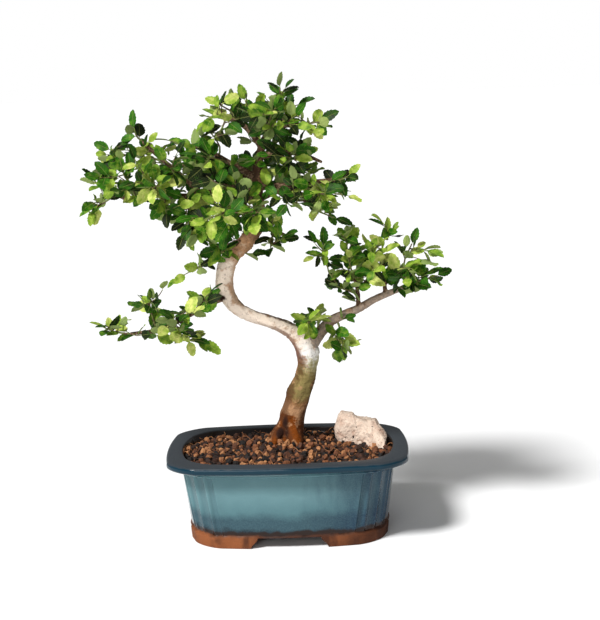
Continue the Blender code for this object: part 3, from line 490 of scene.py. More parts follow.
def tube(path: Path, sides: int, relief: float = 0.0, clearance: float = 0.0) -> Skin:
    """A closed tube along a path.

    Args:
        path: Places and radii.
        sides: Sides of its section.
        relief: Depth of the long ribs in its bark, as a share of its radius.
        clearance: How much thicker than the path's radii it is.

    Returns:
        Points and faces.
    """
    along = tangents(path)
    side = along[0].orthogonal().normalized()
    rings = []
    for k, (place, radius) in enumerate(path):
        side = (side - along[k] * side.dot(along[k])).normalized()
        over = along[k].cross(side)
        if k == 0:
            place = place - along[k] * clearance
        if k == len(path) - 1:
            place = place + along[k] * clearance
        ring = []
        for i in range(sides):
            turn = 2 * math.pi * i / sides
            ribs = 0.6 * math.cos(3 * turn + 0.35 * k) + 0.4 * math.cos(5 * turn - 0.22 * k)
            out = radius * (1 + relief * ribs) + clearance
            ring.append(place + out * (math.cos(turn) * side + math.sin(turn) * over))
        rings.append(ring)
    return loft(rings)


def place_on(path: Path, share: float) -> tuple[Vector, float, Vector]:
    """Place, radius and direction at a share of a path's length.

    Args:
        path: Places and radii.
        share: Share of its length, from 0 to 1.

    Returns:
        The place there, the radius and the direction of travel.
    """
    lengths = [0.0]
    for (a, _), (b, _) in zip(path, path[1:]):
        lengths.append(lengths[-1] + (b - a).length)
    goal = share * lengths[-1]
    k = 0
    while k < len(path) - 2 and lengths[k + 1] < goal:
        k += 1
    t = (goal - lengths[k]) / (lengths[k + 1] - lengths[k])
    (a, start), (b, end) = path[k], path[k + 1]
    return a.lerp(b, min(t, 1.0)), start + min(t, 1.0) * (end - start), (b - a).normalized()


def clear_of(tree: BVHTree, others: Iterable[BVHTree]) -> bool:
    """Whether a search tree crosses none of the others."""
    return not any(tree.overlap(other) for other in others)


class FinishTree:
    """A material's node tree while it is put together.

    Sizes of its patterns are in millimetres.
    """

    def __init__(self, name: str) -> None:
        """Start a material.

        Args:
            name: Name of the finish.
        """
        self.material = bpy.data.materials.new(name)
        self.material.use_nodes = True
        self.nodes = self.material.node_tree.nodes
        self.links = self.material.node_tree.links
        self.shader = self.nodes["Principled BSDF"]
        self.place = self.nodes.new("ShaderNodeTexCoord").outputs["Object"]

    def put(self, socket: Socket, value: Any) -> None:
        """Link a socket, or set it to a plain value.

        Args:
            socket: Input of a node.
            value: Socket or plain value.
        """
        if isinstance(value, Socket):
            self.links.new(value, socket)
        elif isinstance(value, tuple) and len(value) == 3 and socket.type == "RGBA":
            socket.default_value = (*value, 1.0)
        else:
            socket.default_value = value

    def node(self, kind: str, inputs: dict[Any, Any], **settings: Any) -> bpy.types.Node:
        """Add a node.

        Args:
            kind: Blender's name of it.
            inputs: Sockets or values, by the name or number of its input.
            **settings: Its settings.

        Returns:
            The node.
        """
        node = self.nodes.new(kind)
        for name, value in settings.items():
            setattr(node, name, value)
        for key, value in inputs.items():
            self.put(node.inputs[key], value)
        return node

    def axis(self, letter: str) -> Socket:
        """One coordinate of the place, in metres."""
        return self.node("ShaderNodeSeparateXYZ", {0: self.place}).outputs[letter]

    def attribute(self, name: str) -> Socket:
        """A number that the mesh keeps for each point or face."""
        return self.node("ShaderNodeAttribute", {}, attribute_name=name).outputs["Fac"]

    def stretched(self, x: float, y: float, z: float) -> Socket:
        """The place with each axis scaled, for a pattern that is longer one way."""
        return self.node("ShaderNodeMapping", {"Vector": self.place, "Scale": (x, y, z)}).outputs["Vector"]

    def noise(self, size: float, detail: float = 3.0, rough: float = 0.55, place: Socket | None = None) -> Socket:
        """Cloudy noise.

        Args:
            size: Size of its largest clouds.
            detail: Number of finer layers.
            rough: Strength of the finer layers.
            place: Coordinates to use instead of the plain ones.

        Returns:
            A number from 0 to 1.
        """
        inputs = {"Vector": place or self.place, "Scale": 1000 / size, "Detail": detail, "Roughness": rough}
        return self.node("ShaderNodeTexNoise", inputs).outputs["Fac"]

    def math(self, operation: str, *values: Any) -> Socket:
        """One step of arithmetic on sockets or numbers."""
        return self.node("ShaderNodeMath", dict(enumerate(values)), operation=operation).outputs[0]

    def times(self, *values: Any) -> Socket:
        """The product of sockets or numbers."""
        return reduce(lambda result, value: self.math("MULTIPLY", result, value), values)

    def less(self, value: Any, other: Any) -> Socket:
        """A value less another."""
        return self.math("SUBTRACT", value, other)

    def sway(self, value: Any, cloud: Socket, reach: float) -> Socket:
        """A value that noise moves to and fro over a reach."""
        return self.math("ADD", value, self.times(self.less(cloud, 0.5), reach))

    def ease(self, value: Any, low: float, high: float, most: float = 1.0) -> Socket:
        """Rise smoothly from 0 to the most while a value goes from low to high.

        Args:
            value: Socket that is read.
            low: Where the rise starts.
            high: Where it ends. It may be less than low, for a fall.
            most: Highest result.

        Returns:
            The eased number.
        """
        flip = low > high
        return self.node("ShaderNodeMapRange", {
            "Value": value, "From Min": min(low, high), "From Max": max(low, high), "To Min": most if flip else 0.0,
            "To Max": 0.0 if flip else most,
        }, interpolation_type="SMOOTHSTEP").outputs["Result"]

    def ramp(self, value: Socket, *stops: tuple[float, Colour]) -> Socket:
        """A colour that runs through stops as a value rises.

        Args:
            value: Socket from 0 to 1.
            *stops: Positions and colours.

        Returns:
            The colour.
        """
        node = self.node("ShaderNodeValToRGB", {"Fac": value})
        elements = node.color_ramp.elements
        while len(elements) < len(stops):
            elements.new(0.5)
        for element, (position, colour) in zip(elements, stops):
            element.position = position
            element.color = (*colour, 1.0)
        return node.outputs["Color"]

    def mix(self, share: Any, first: Any, second: Any) -> Socket:
        """Mix two colours.

        Args:
            share: Share of the second.
            first: First colour.
            second: Second colour.

        Returns:
            The mixed colour.
        """
        node = self.node("ShaderNodeMix", {}, data_type="RGBA")
        self.put(node.inputs["Factor"], share)
        colours = [socket for socket in node.inputs if socket.type == "RGBA"]
        self.put(colours[0], first)
        self.put(colours[1], second)
        return next(socket for socket in node.outputs if socket.type == "RGBA")

    def coats(self, base: Any, *layers: tuple[Any, Any]) -> Socket:
        """Lay colours over a base, one after the other.

        Args:
            base: First colour.
            *layers: For each further coat, where it covers and its colour.

        Returns:
            The colour of all coats.
        """
        for share, colour in layers:
            base = self.mix(share, base, colour)
        return base

    def bump(self, height: Socket, depth: float, under: Socket | None = None) -> Socket:
        """Fine relief.

        Args:
            height: Its height, from 0 to 1.
            depth: Its full depth.
            under: Relief that it lies on.

        Returns:
            The normal.
        """
        inputs = {"Distance": depth * MM, "Height": height} | ({"Normal": under} if under else {})
        return self.node("ShaderNodeBump", inputs).outputs["Normal"]

    def close(self, colour: Any, roughness: Any, normal: Socket | None = None, **sockets: float) -> Material:
        """Fill in the shader.

        Args:
            colour: Base colour.
            roughness: Roughness.
            normal: Relief, if there is any.
            **sockets: Plain values of other sockets, with _ for a space.

        Returns:
            The finished material.
        """
        self.put(self.shader.inputs["Base Color"], colour)
        self.put(self.shader.inputs["Roughness"], roughness)
        if normal:
            self.links.new(normal, self.shader.inputs["Normal"])
        for name, value in sockets.items():
            self.shader.inputs[name.replace("_", " ")].default_value = value
        return self.material


@dataclass(frozen=True)
class GlazeFinish:
    """Blue-green glaze that runs thin at the rim and stops short of the clay feet, with painted shade on the pot's
    right and under its middle.
    """

    milky: Colour = seen(94, 128, 133)
    teal: Colour = seen(76, 110, 116)
    slate_blue: Colour = seen(47, 72, 82)
    # Deep blue, laid over the pot's right as painted shade.
    deep: Colour = seen(6, 34, 60)
    night: Colour = seen(12, 18, 30)
    lip: Colour = seen(10, 44, 58)
    rim: Colour = seen(50, 55, 60)
    inside: Colour = seen(28, 22, 20)
    burnt: Colour = seen(38, 26, 22)
    clay: Colour = seen(132, 76, 42)
    # Darker clay: its own tone in patches and grain, and painted shade on the pot's right and between the feet.
    clay_dark_and_shade: Colour = seen(56, 28, 15)

    def make(self, centre: Vector) -> Material:
        """The material.

        Args:
            centre: Middle of the pot in the frame.

        Returns:
            The finished glaze.
        """
        tree = FinishTree("celadon_blue_glaze")
        clouds = tree.noise(26.0, 4.0)
        runs = tree.noise(9.0, 3.0, place=tree.stretched(1.0, 1.0, 0.3))
        specks = tree.noise(1.1, 2.0)
        grain = tree.noise(0.7, 3.0)
        height = tree.axis("Z")
        across = tree.sway(tree.axis("X"), runs, 50 * MM)
        # right: darker towards the pot's right, away from the light; painted shade on the glaze and on the clay feet.
        right = tree.ease(across, centre.x + 6 * MM, centre.x + 82 * MM)
        top = tree.sway(height, runs, 1.6 * MM)
        low = tree.sway(height, runs, 7 * MM)
        edge = tree.sway(height, tree.noise(13.0, 3.0), 7 * MM)
        body = tree.ramp(
            tree.ease(tree.sway(height, clouds, 16 * MM), 10 * MM, 66 * MM),
            (0.0, self.night), (0.05, self.slate_blue), (0.16, self.slate_blue), (0.34, self.teal),
            (0.7, self.milky), (1.0, self.teal),
        )
        body = tree.coats(
            body,
            # Painted shade: the glaze turns deep blue towards the pot's right.
            (tree.times(right, 0.9), self.deep),
            (tree.ease(tree.attribute("pool"), 0.3, 1.0, 0.3), self.slate_blue),
            (tree.ease(specks, 0.3, 0.75, 0.16), self.milky),
            (tree.ease(low, 15.4 * MM, 12.8 * MM), self.burnt),
            (tree.ease(top, 65.5 * MM, 67.5 * MM), self.lip),
            (tree.ease(top, 71.0 * MM, 72.4 * MM, 0.95), self.rim),
            (tree.attribute("inner"), self.inside),
        )
        # middle: nearness to the pot's middle, where the clay between the feet is darkened as painted shade under the
        # pot.
        middle = tree.math("ABSOLUTE", tree.less(across, centre.x))
        clay = tree.coats(
            self.clay,
            (tree.ease(tree.noise(17.0, 3.0), 0.4, 0.8, 0.8), self.clay_dark_and_shade),
            (tree.ease(grain, 0.45, 0.75, 0.25), self.clay_dark_and_shade),
            # Painted shade: the clay darkens towards the pot's right.
            (tree.times(right, 0.85), self.clay_dark_and_shade),
            # Painted shade under the pot, on the clay between the feet.
            (tree.ease(middle, 42 * MM, 24 * MM, 0.9), self.clay_dark_and_shade),
        )
        bare = tree.ease(edge, 12.2 * MM, 8.6 * MM)
        worn = tree.math("ADD", tree.times(bare, 0.72), tree.ease(top, 71.0 * MM, 72.4 * MM, 0.34))
        rough = tree.math("ADD", worn, tree.times(specks, 0.2))
        relief = tree.bump(tree.noise(4.0, 2.0), 0.05)
        relief = tree.bump(tree.times(grain, bare), 0.35, relief)
        return tree.close(tree.mix(bare, body, clay), rough, relief, Specular_IOR_Level=0.22)


@dataclass(frozen=True)
class GranuleFinish:
    """Baked clay granules, from nearly black to tan, with a colour for each."""

    black: Colour = seen(18, 11, 8)
    brown: Colour = seen(62, 34, 20)
    rust: Colour = seen(122, 72, 40)
    tan: Colour = seen(178, 124, 80)

    def make(self) -> Material:
        """The material of the granules.

        Returns:
            The finished clay.
        """
        tree = FinishTree("baked_clay_granules")
        mottled = tree.sway(tree.attribute("tint"), tree.noise(2.2), 0.5)
        colour = tree.ramp(mottled, (0.12, self.black), (0.42, self.brown), (0.72, self.rust), (1.0, self.tan))
        colour = tree.mix(tree.ease(tree.noise(0.8, 2.0), 0.55, 0.8, 0.4), colour, self.black)
        relief = tree.bump(tree.noise(0.9, 3.0), 0.4)
        return tree.close(colour, 0.85, relief)

    def make_shaded_bed(self) -> Material:
        """The material of the bed between the granules, dark as painted shade in the gaps.

        Returns:
            The finished bed.
        """
        tree = FinishTree("bed_between_granules")
        colour = tree.ramp(tree.noise(2.4, 4.0), (0.3, self.black), (0.8, self.brown))
        return tree.close(colour, 0.95, tree.bump(tree.noise(1.6, 3.0), 0.8))

    def make_fibre(self) -> Material:
        """The material of the dead root fibres."""
        tree = FinishTree("dead_root_fibres")
        return tree.close(tree.mix(tree.ease(tree.noise(4.0), 0.4, 0.6), self.rust, self.tan), 0.8)


@dataclass(frozen=True)
class BarkFinish:
    """Bark that goes from orange at the roots over olive to cream, and to grey-brown on the limbs, with painted shade
    on the right of the trunk's foot and bend, and in its furrows and hollows.
    """

    orange: Colour = seen(112, 55, 6)
    brown: Colour = seen(144, 104, 68)
    umber: Colour = seen(74, 42, 22)
    olive: Colour = seen(130, 116, 70)
    lichen: Colour = seen(172, 164, 124)
    tan: Colour = seen(176, 134, 98)
    cream: Colour = seen(236, 218, 200)
    white: Colour = seen(242, 238, 234)
    limb: Colour = seen(74, 54, 38)
    limb_pale: Colour = seen(146, 120, 96)
    # Near black: painted shade in furrows and hollows, and the cut knot's own dark.
    knot_and_shade_dark: Colour = seen(42, 22, 15)

    def make(self) -> Material:
        """The material of the trunk and limbs.

        Returns:
            The finished bark.
        """
        tree = FinishTree("elm_bark_mottled")
        clouds = tree.noise(20.0, 4.0, 0.6)
        patches = tree.noise(7.0, 4.0, 0.6)
        flecks = tree.noise(2.2, 3.0, 0.65)
        height = tree.attribute("climb")
        climb = tree.sway(tree.sway(height, clouds, 0.1), patches, 0.07)
        base = tree.ramp(
            climb,
            (0.0, self.orange), (0.078, self.orange), (0.096, self.tan), (0.12, self.tan), (0.14, self.brown),
            (0.17, self.olive), (0.225, self.olive), (0.25, self.lichen), (0.275, self.white), (0.33, self.cream),
            (0.56, self.cream), (0.6, self.tan), (0.66, self.limb), (1.0, self.limb),
        )
        side = tree.sway(tree.attribute("side"), patches, 1.5)
        below = tree.less(tree.times(tree.attribute("side"), -0.8), tree.attribute("top"))
        under = tree.ease(tree.sway(below, patches, 1.5), 0.35, 0.8)
        upper = tree.ease(tree.sway(tree.attribute("top"), patches, 1.5), 0.55, 0.9)
        fork = tree.times(tree.ease(height, 0.2, 0.26), tree.ease(height, 0.4, 0.35))
        bend = tree.times(tree.ease(height, 0.36, 0.42), tree.ease(height, 0.62, 0.58))
        slope = tree.times(tree.ease(height, 0.3, 0.36), tree.ease(height, 0.5, 0.42))
        colour = tree.coats(
            base,
            (tree.times(tree.ease(side, -0.2, -0.7), tree.ease(height, 0.36, 0.3), 0.7), self.umber),
            # Painted shade: the right side of the trunk's foot is darkened.
            (tree.times(tree.ease(side, 0.4, 0.85), tree.ease(height, 0.25, 0.2), 0.85), self.umber),
            (tree.times(under, fork, 0.7), self.orange),
            # Painted shade: the right side of the bend turns tan where its left is cream.
            (tree.times(tree.ease(side, 0.25, 0.8), bend, 0.75), self.tan),
            (tree.times(upper, slope, 0.9), self.umber),
            (tree.ease(patches, 0.54, 0.66, 0.6), self.tan),
            (tree.attribute("limb"), tree.mix(tree.ease(flecks, 0.46, 0.62), self.limb, self.limb_pale)),
            (tree.ease(flecks, 0.54, 0.74, 0.5), self.umber),
            # Painted shade in the furrows and front hollows; at the cut knot partly its own dark colour.
            (tree.ease(tree.attribute("hollow"), 0.1, 0.75), self.knot_and_shade_dark),
            (tree.ease(tree.noise(1.3, 3.0), 0.64, 0.78, 0.4), self.umber),
        )
        relief = tree.bump(patches, 1.2)
        relief = tree.bump(flecks, 0.9, relief)
        return tree.close(colour, 0.82, relief, Specular_IOR_Level=0.14)


@dataclass(frozen=True)
class LeafFinish:
    """Glossy elm leaf, darker or yellower by leaf and darker inside the crown as painted shade, mottled partly as
    painted highlight and shade, paler underneath, with a light rib and side veins.
    """

    dark: Colour = seen(2, 24, 0)
    mid: Colour = seen(38, 98, 0)
    bright: Colour = seen(140, 168, 54)
    young: Colour = seen(202, 206, 116)
    under: Colour = seen(140, 158, 92)
    veins: float = 7.0

    def make(self) -> Material:
        """The material of the leaves.

        Returns:
            The finished leaf.
        """
        tree = FinishTree("elm_leaf_glossy")
        # Each leaf's tint, mottled by noise that partly stands in for highlights and shade.
        tint_and_painted_light = tree.sway(tree.attribute("tint"), tree.noise(5.0), 0.8)
        face = tree.ramp(tint_and_painted_light, (0.08, self.dark), (0.45, self.mid), (0.75, self.bright), (1.0, self.young))
        layer = tree.node("ShaderNodeUVMap", {}, uv_map="blade")
        split = tree.node("ShaderNodeSeparateXYZ", {0: layer.outputs["UV"]})
        out = tree.math("ABSOLUTE", tree.less(split.outputs["Y"], 0.5))
        slant = tree.less(split.outputs["X"], tree.times(out, 0.7))
        wave = tree.math("ABSOLUTE", tree.less(tree.math("FRACT", tree.times(slant, self.veins)), 0.5))
        lines = tree.math("MAXIMUM", tree.ease(out, 0.05, 0.0), tree.ease(wave, 0.13, 0.0, 0.6))
        under = tree.attribute("under")
        colour = tree.coats(face, (tree.times(lines, 0.25), self.young), (tree.times(under, 0.8), self.under))
        rough = tree.math("ADD", 0.5, tree.times(under, 0.3))
        relief = tree.bump(lines, -0.35)
        relief = tree.bump(tree.noise(1.2, 2.0), 0.08, relief)
        return tree.close(colour, rough, relief, Specular_IOR_Level=0.15)


@dataclass(frozen=True)
class TwigFinish:
    """Skin of the young twigs: green at the tips and brown where they are older."""

    green: Colour = seen(104, 116, 50)
    brown: Colour = seen(78, 54, 34)

    def make(self) -> Material:
        """The material of the twigs.

        Returns:
            The finished skin.
        """
        tree = FinishTree("young_twig_skin")
        patches = tree.noise(5.0, 3.0)
        colour = tree.mix(tree.ease(patches, 0.4, 0.62), self.green, self.brown)
        return tree.close(colour, 0.6, tree.bump(tree.noise(0.9, 2.0), 0.15))


@dataclass(frozen=True)
class RockFinish:
    """Pale pinkish rock with fine pits and a few cracks, both darkened as painted shade."""

    pale: Colour = seen(216, 196, 178)
    pink: Colour = seen(190, 158, 138)
    grey: Colour = seen(132, 114, 102)
    # Near black, painted shade in the pits and cracks.
    pit_shade: Colour = seen(54, 42, 38)

    def make(self) -> Material:
        """The material of the rock.

        Returns:
            The finished rock.
        """
        tree = FinishTree("pale_pitted_rock")
        clouds = tree.noise(11.0, 4.0, 0.6)
        fine = tree.noise(1.6, 3.0, 0.6)
        colour = tree.coats(
            tree.ramp(clouds, (0.32, self.pink), (0.52, self.pale), (0.75, self.pink)),
            (tree.ease(fine, 0.56, 0.76, 0.55), self.grey),
            # Painted shade in the dented pits and cracks, and in more pits spotted by noise.
            (tree.ease(tree.attribute("hollow"), 0.25, 0.9), self.pit_shade),
            (tree.ease(tree.noise(2.6, 3.0, 0.7), 0.66, 0.74, 0.7), self.pit_shade),
        )
        relief = tree.bump(clouds, 1.2)
        relief = tree.bump(fine, 0.5, relief)
        return tree.close(colour, 0.9, relief, Specular_IOR_Level=0.3)


@dataclass(frozen=True)
class ScreenFinish:
    """Matte black moulded plastic of the drainage screens, dusty in places."""

    black: Colour = seen(24, 24, 25)
    dust: Colour = seen(92, 70, 52)

    def make(self) -> Material:
        """The material of the screens.

        Returns:
            The finished plastic.
        """
        tree = FinishTree("dusty_black_plastic")
        colour = tree.mix(tree.ease(tree.noise(3.0, 3.0), 0.5, 0.75, 0.6), self.black, self.dust)
        return tree.close(colour, 0.6, tree.bump(tree.noise(0.5, 2.0), 0.05))


@dataclass(frozen=True)
class FloorFinish:
    """Plain pale floor."""

    colour: Colour = (0.93, 0.93, 0.93)

    def make(self) -> Material:
        """The material of the floor."""
        tree = FinishTree("pale_floor")
        return tree.close(self.colour, 0.9, Specular_IOR_Level=0.0)


class GrowthTree:
    """A Geometry Nodes tree while it is put together, and what carries it out."""

    def __init__(self, name: str) -> None:
        """Start a tree with one geometry in and one out.

        Args:
            name: Name of the tree.
        """
        self.group = bpy.data.node_groups.new(name, "GeometryNodeTree")
        self.group.interface.new_socket("Geometry", in_out="OUTPUT", socket_type="NodeSocketGeometry")
        self.group.interface.new_socket("Geometry", in_out="INPUT", socket_type="NodeSocketGeometry")
        self.start = self.group.nodes.new("NodeGroupInput")
        self.end = self.group.nodes.new("NodeGroupOutput")
        self.names: dict[str, str] = {}

    def ask(self, name: str, kind: str) -> Socket:
        """Add an input that each piece sets.

        Args:
            name: Name of the input.
            kind: Kind of socket, such as Float.

        Returns:
            The socket to link from.
        """
        made = self.group.interface.new_socket(name, in_out="INPUT", socket_type=f"NodeSocket{kind}")
        self.names[name] = made.identifier
        return self.start.outputs[name]

    def step(self, kind: str, links: dict[str, Any], **settings: Any) -> Socket:
        """Add a node.

        Args:
            kind: Blender's name of the node.
            links: Sockets or values for its inputs, by name.
            **settings: Its settings.

        Returns:
            Its first output that is in use.
        """
        node = self.group.nodes.new(kind)
        for name, value in settings.items():
            setattr(node, name, value)
        for name, value in links.items():
            target = next(socket for socket in node.inputs if socket.name == name and socket.enabled)
            if isinstance(value, Socket):
                self.group.links.new(value, target)
            else:
                target.default_value = value
        return next(socket for socket in node.outputs if socket.enabled)

    def named(self, name: str, kind: str = "FLOAT") -> Socket:
        """A value that the points keep under a name."""
        return self.step("GeometryNodeInputNamedAttribute", {"Name": name}, data_type=kind)

    def drawn(self, low: Any, high: Any, seed: Any, kind: str = "FLOAT") -> Socket:
        """A seeded value between two limits, for each point or form."""
        return self.step("FunctionNodeRandomValue", {"Min": low, "Max": high, "Seed": seed}, data_type=kind)

    def kept(self, geometry: Socket, name: str, value: Any, kind: str, domain: str) -> Socket:
        """The geometry with a value kept under a name."""
        links = {"Geometry": geometry, "Name": name, "Value": value}
        return self.step("GeometryNodeStoreNamedAttribute", links, data_type=kind, domain=domain)

    def laid(self, points: Socket, forms: Socket, pick: Socket, turn: Socket, scale: Socket) -> Socket:
        """Lay forms on points.

        Args:
            points: The points.
            forms: Collection of the forms.
            pick: Number of the form for each point.
            turn: Its turn.
            scale: Its size.

        Returns:
            The forms in their places.
        """
        source = self.step(
            "GeometryNodeCollectionInfo", {"Collection": forms, "Separate Children": True, "Reset Children": True}
        )
        rotation = self.step("FunctionNodeEulerToRotation", {"Euler": turn})
        return self.step("GeometryNodeInstanceOnPoints", {
            "Points": points, "Instance": source, "Pick Instance": True, "Instance Index": pick,
            "Rotation": rotation, "Scale": scale,
        })

    def dressed(self, geometry: Socket, material: Socket, **more: Socket) -> Socket:
        """The geometry with a finish, on all of it or on a selection."""
        return self.step("GeometryNodeSetMaterial", {"Geometry": geometry, "Material": material, **more})

    def close(self, geometry: Socket) -> None:
        """Send the result out of the tree."""
        self.group.links.new(geometry, self.end.inputs[0])

    def carry_out(self, item: Object, values: dict[str, Any]) -> Object:
        """Run the tree on an object and keep the result as its plain mesh.

        Args:
            item: Object that the tree starts from.
            values: Value of each named input.

        Returns:
            The same object.
        """
        modifier = item.modifiers.new(self.group.name, "NODES")
        modifier.node_group = self.group
        for name, value in values.items():
            modifier[self.names[name]] = value
        return settle(item)


@dataclass
class Workshop:
    """Carries finished pieces to the pot's place and hands them to the frame."""

    carry: Vector = field(default_factory=Vector)

    def hand_over(self, piece: Object, slot: Slot, *nodes: str) -> None:
        """Put a piece in place, tie it to the frame and report it.

        Args:
            piece: Finished piece, made about the pot's centre.
            slot: Material slot that its finish belongs to; not used.
            *nodes: Names of the solids that it stands for.
        """
        piece.data.transform(Matrix.Translation(self.carry))
        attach(piece, "root")
        if nodes:
            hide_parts(*nodes)
        triangles = sum(len(face.vertices) - 2 for face in piece.data.polygons)
        LOG.info("%s: %d triangles", piece.name, triangles)


@dataclass
class Pot:
    """The pot: a rectangle with bowed sides and soft fluted corners, on four bracket feet."""

    half_length: float = 102.5 * MM
    half_width: float = 77.8 * MM
    height: float = 73.0 * MM
    long_bow: float = 5.0 * MM
    short_bow: float = 3.0 * MM
    corner_length: float = 28.0 * MM
    corner_width: float = 25.0 * MM
    roundness: float = 1.5
    flutes: int = 4
    ridge: float = 0.9 * MM
    ridge_power: float = 5.0
    wall: float = 6.0 * MM
    base_inset: float = 18.0 * MM
    top_inset: float = 11.5 * MM
    panel_top: float = 61.5 * MM
    lip_height: float = 6.5 * MM
    lip_width: float = 12.0 * MM
    lip_round: float = 2.6 * MM
    moulding_height: float = 2.0 * MM
    moulding_proud: float = 3.5 * MM
    foot_height: float = 9.2 * MM
    foot_proud: float = 1.2 * MM
    foot_depth: float = 14.0 * MM
    foot_chamfer: float = 0.8 * MM
    underside: float = 10.6 * MM
    floor: float = 17.0 * MM
    gap_length: float = 64.0 * MM
    gap_width: float = 46.0 * MM
    foot_curve: float = 6.0 * MM
    drain_radius: float = 7.0 * MM
    drain_offset: float = 38.0 * MM
    panel_steps: int = 14
    corner_steps: int = 64
    end_steps: int = 8
    wall_steps: int = 14
    lip_steps: int = 6
    gap_steps: int = 12
    drain_sides: int = 40
    sharp_degrees: float = 38.0

    def ring(self, inset: float, height: float, ridge: float = 0.0) -> tuple[list[Vector], list[float]]:
        """The closed plan at one level.

        Args:
            inset: How far it lies inside the rim's outline.
            height: Its height.
            ridge: Depth of the flutes at its corners.

        Returns:
            The places, and at each how deep it lies in a flute, from 0 to 1.
        """
        length = self.half_length - inset
        width = self.half_width - inset
        end_bow = self.short_bow + 0.15 * inset
        corner_x = length - end_bow - self.corner_length + self.short_bow
        corner_y = width - self.long_bow - self.corner_width
        quarter: list[tuple[float, float, float]] = []
        for i in range(self.panel_steps):
            x = corner_x * i / self.panel_steps
            quarter.append((x, width - self.long_bow * (x / corner_x) ** 2, 0.0))
        for i in range(self.corner_steps + 1):
            turn = 0.5 * math.pi * i / self.corner_steps
            across = math.sin(turn) ** (2 / self.roundness)
            along = math.cos(turn) ** (2 / self.roundness)
            wave = 2 * abs(math.cos(2 * self.flutes * turn)) ** self.ridge_power - 1
            proud = ridge * wave
            x = corner_x + (length - end_bow - corner_x) * across + proud * math.sin(turn)
            y = corner_y + (width - self.long_bow - corner_y) * along + proud * math.cos(turn)
            quarter.append((x, y, 0.5 - 0.5 * wave if ridge else 0.0))
        for i in range(1, self.end_steps + 1):
            share = 1 - i / self.end_steps
            quarter.append((length - end_bow * share**2, corner_y * share, 0.0))
        turned = quarter[::-1]
        plan = [*turned]
        plan += [(-x, y, deep) for x, y, deep in quarter[1:]]
        plan += [(-x, -y, deep) for x, y, deep in turned[1:]]
        plan += [(x, -y, deep) for x, y, deep in quarter[1:-1]]
        return [Vector((x, y, height)) for x, y, _ in plan], [deep for _, _, deep in plan]

    def levels(self) -> list[tuple[float, float, float, float]]:
        """The rings of the pot's skin, from the recess below to the floor inside.

        Returns:
            Inset, height, flute depth and share of inside of each ring.
        """
        foot = self.base_inset - self.foot_proud
        moulding = self.top_inset - self.moulding_proud
        moulding_top = self.panel_top + self.moulding_height
        lip_bottom = self.height - self.lip_height
        groove = 0.5 * (moulding_top + lip_bottom)
        base = self.base_inset + self.wall
        feet = [
            (foot + self.foot_depth, self.underside), (foot + self.foot_depth, 0.0),
            (foot + 2 * self.foot_chamfer, 0.0), (foot + 0.3 * self.foot_chamfer, 0.25 * MM),
            (foot, self.foot_chamfer), (foot, self.foot_height - 0.5 * MM), (foot + 0.35 * MM, self.foot_height),
        ]
        rows = [(*pair, 0.0, 0.0) for pair in feet]
        rows.append((self.base_inset + 0.2 * MM, self.underside, 0.4 * self.ridge, 0.0))
        for i in range(1, self.wall_steps + 1):
            share = i / self.wall_steps
            rise = self.underside + share * (self.panel_top - self.underside)
            inset = self.base_inset + share * (self.top_inset - self.base_inset)
            rows.append((inset, rise, self.ridge * min(1.0, 0.4 + 4 * share), 0.0))
        for share in (0.25, 0.5, 0.75, 1.0):
            turn = 0.5 * math.pi * share
            inset = self.top_inset - self.moulding_proud * math.sin(turn)
            rise = moulding_top - self.moulding_height * math.cos(turn)
            rows.append((inset, rise, self.ridge * (1 - 0.7 * share), 0.0))
        lip = [
            (moulding + 0.25 * MM, moulding_top + 0.5 * MM), (moulding + 0.35 * MM, groove),
            (0.75 * moulding, lip_bottom - 0.4 * MM), (0.4 * moulding, lip_bottom),
        ]
        turns = [0.5 * math.pi * part / self.lip_steps for part in range(self.lip_steps + 1)]
        ins = [self.lip_round * (1 - math.sin(turn)) for turn in turns]
        outs = [self.lip_round * (1 - math.cos(turn)) for turn in turns]
        lip += [(inset, lip_bottom + rise) for inset, rise in zip(ins, outs)]
        lip += [(inset, self.height - drop) for inset, drop in zip(outs, ins)]
        lip += [(0.6 * self.lip_width, self.height - 0.1 * MM), (self.lip_width, self.height)]
        rows += [(*pair, 0.0, 0.0) for pair in lip]
        rows += [
            (self.lip_width + 0.6 * MM, self.height - 0.3 * MM, 0.0, 0.5),
            (self.lip_width + 1.0 * MM, self.height - 1.0 * MM, 0.0, 1.0),
            (self.lip_width + 2.5 * MM, self.height - 6.0 * MM, 0.0, 1.0),
            (base, self.floor + 4.0 * MM, 0.0, 1.0), (base + 3.0 * MM, self.floor, 0.0, 1.0),
        ]
        return rows

    def foot_gap(self, gap: float, along_y: bool) -> Object:
        """Cutter for the S-curved gap between two feet, through the whole pot.

        Args:
            gap: Width of the gap at the floor.
            along_y: Whether it runs along Y, and not X.

        Returns:
            The cutter.
        """
        half = [(0.5 * gap + MM, -5.0 * MM), (0.5 * gap, 0.0)]
        for i in range(1, self.gap_steps + 1):
            share = i / self.gap_steps
            out = 0.5 * gap - 0.5 * self.foot_curve * (1 - math.cos(math.pi * share))
            half.append((out, share * self.foot_height))
        outline = half + [(-across, height) for across, height in reversed(half)]
        reach = 2 * self.half_length
        rings = []
        for end in (-reach, reach):
            places = [((across, end) if along_y else (end, across), height) for across, height in outline]
            rings.append([Vector((*plan, height)) for plan, height in places])
        return new_object("foot_gap", *loft(rings))

    def drain(self, side: int) -> Object:
        """A round cutter through the pot's floor.

        Args:
            side: -1 for the left or 1 for the right.

        Returns:
            The cutter.
        """
        turns = [2 * math.pi * i / self.drain_sides for i in range(self.drain_sides)]
        plan = [(side * self.drain_offset + self.drain_radius * math.cos(turn), self.drain_radius * math.sin(turn))
                for turn in turns]
        ends = (self.underside - 5.0 * MM, self.floor + 5.0 * MM)
        return new_object("drain", *loft([[Vector((*place, height)) for place in plan] for height in ends]))

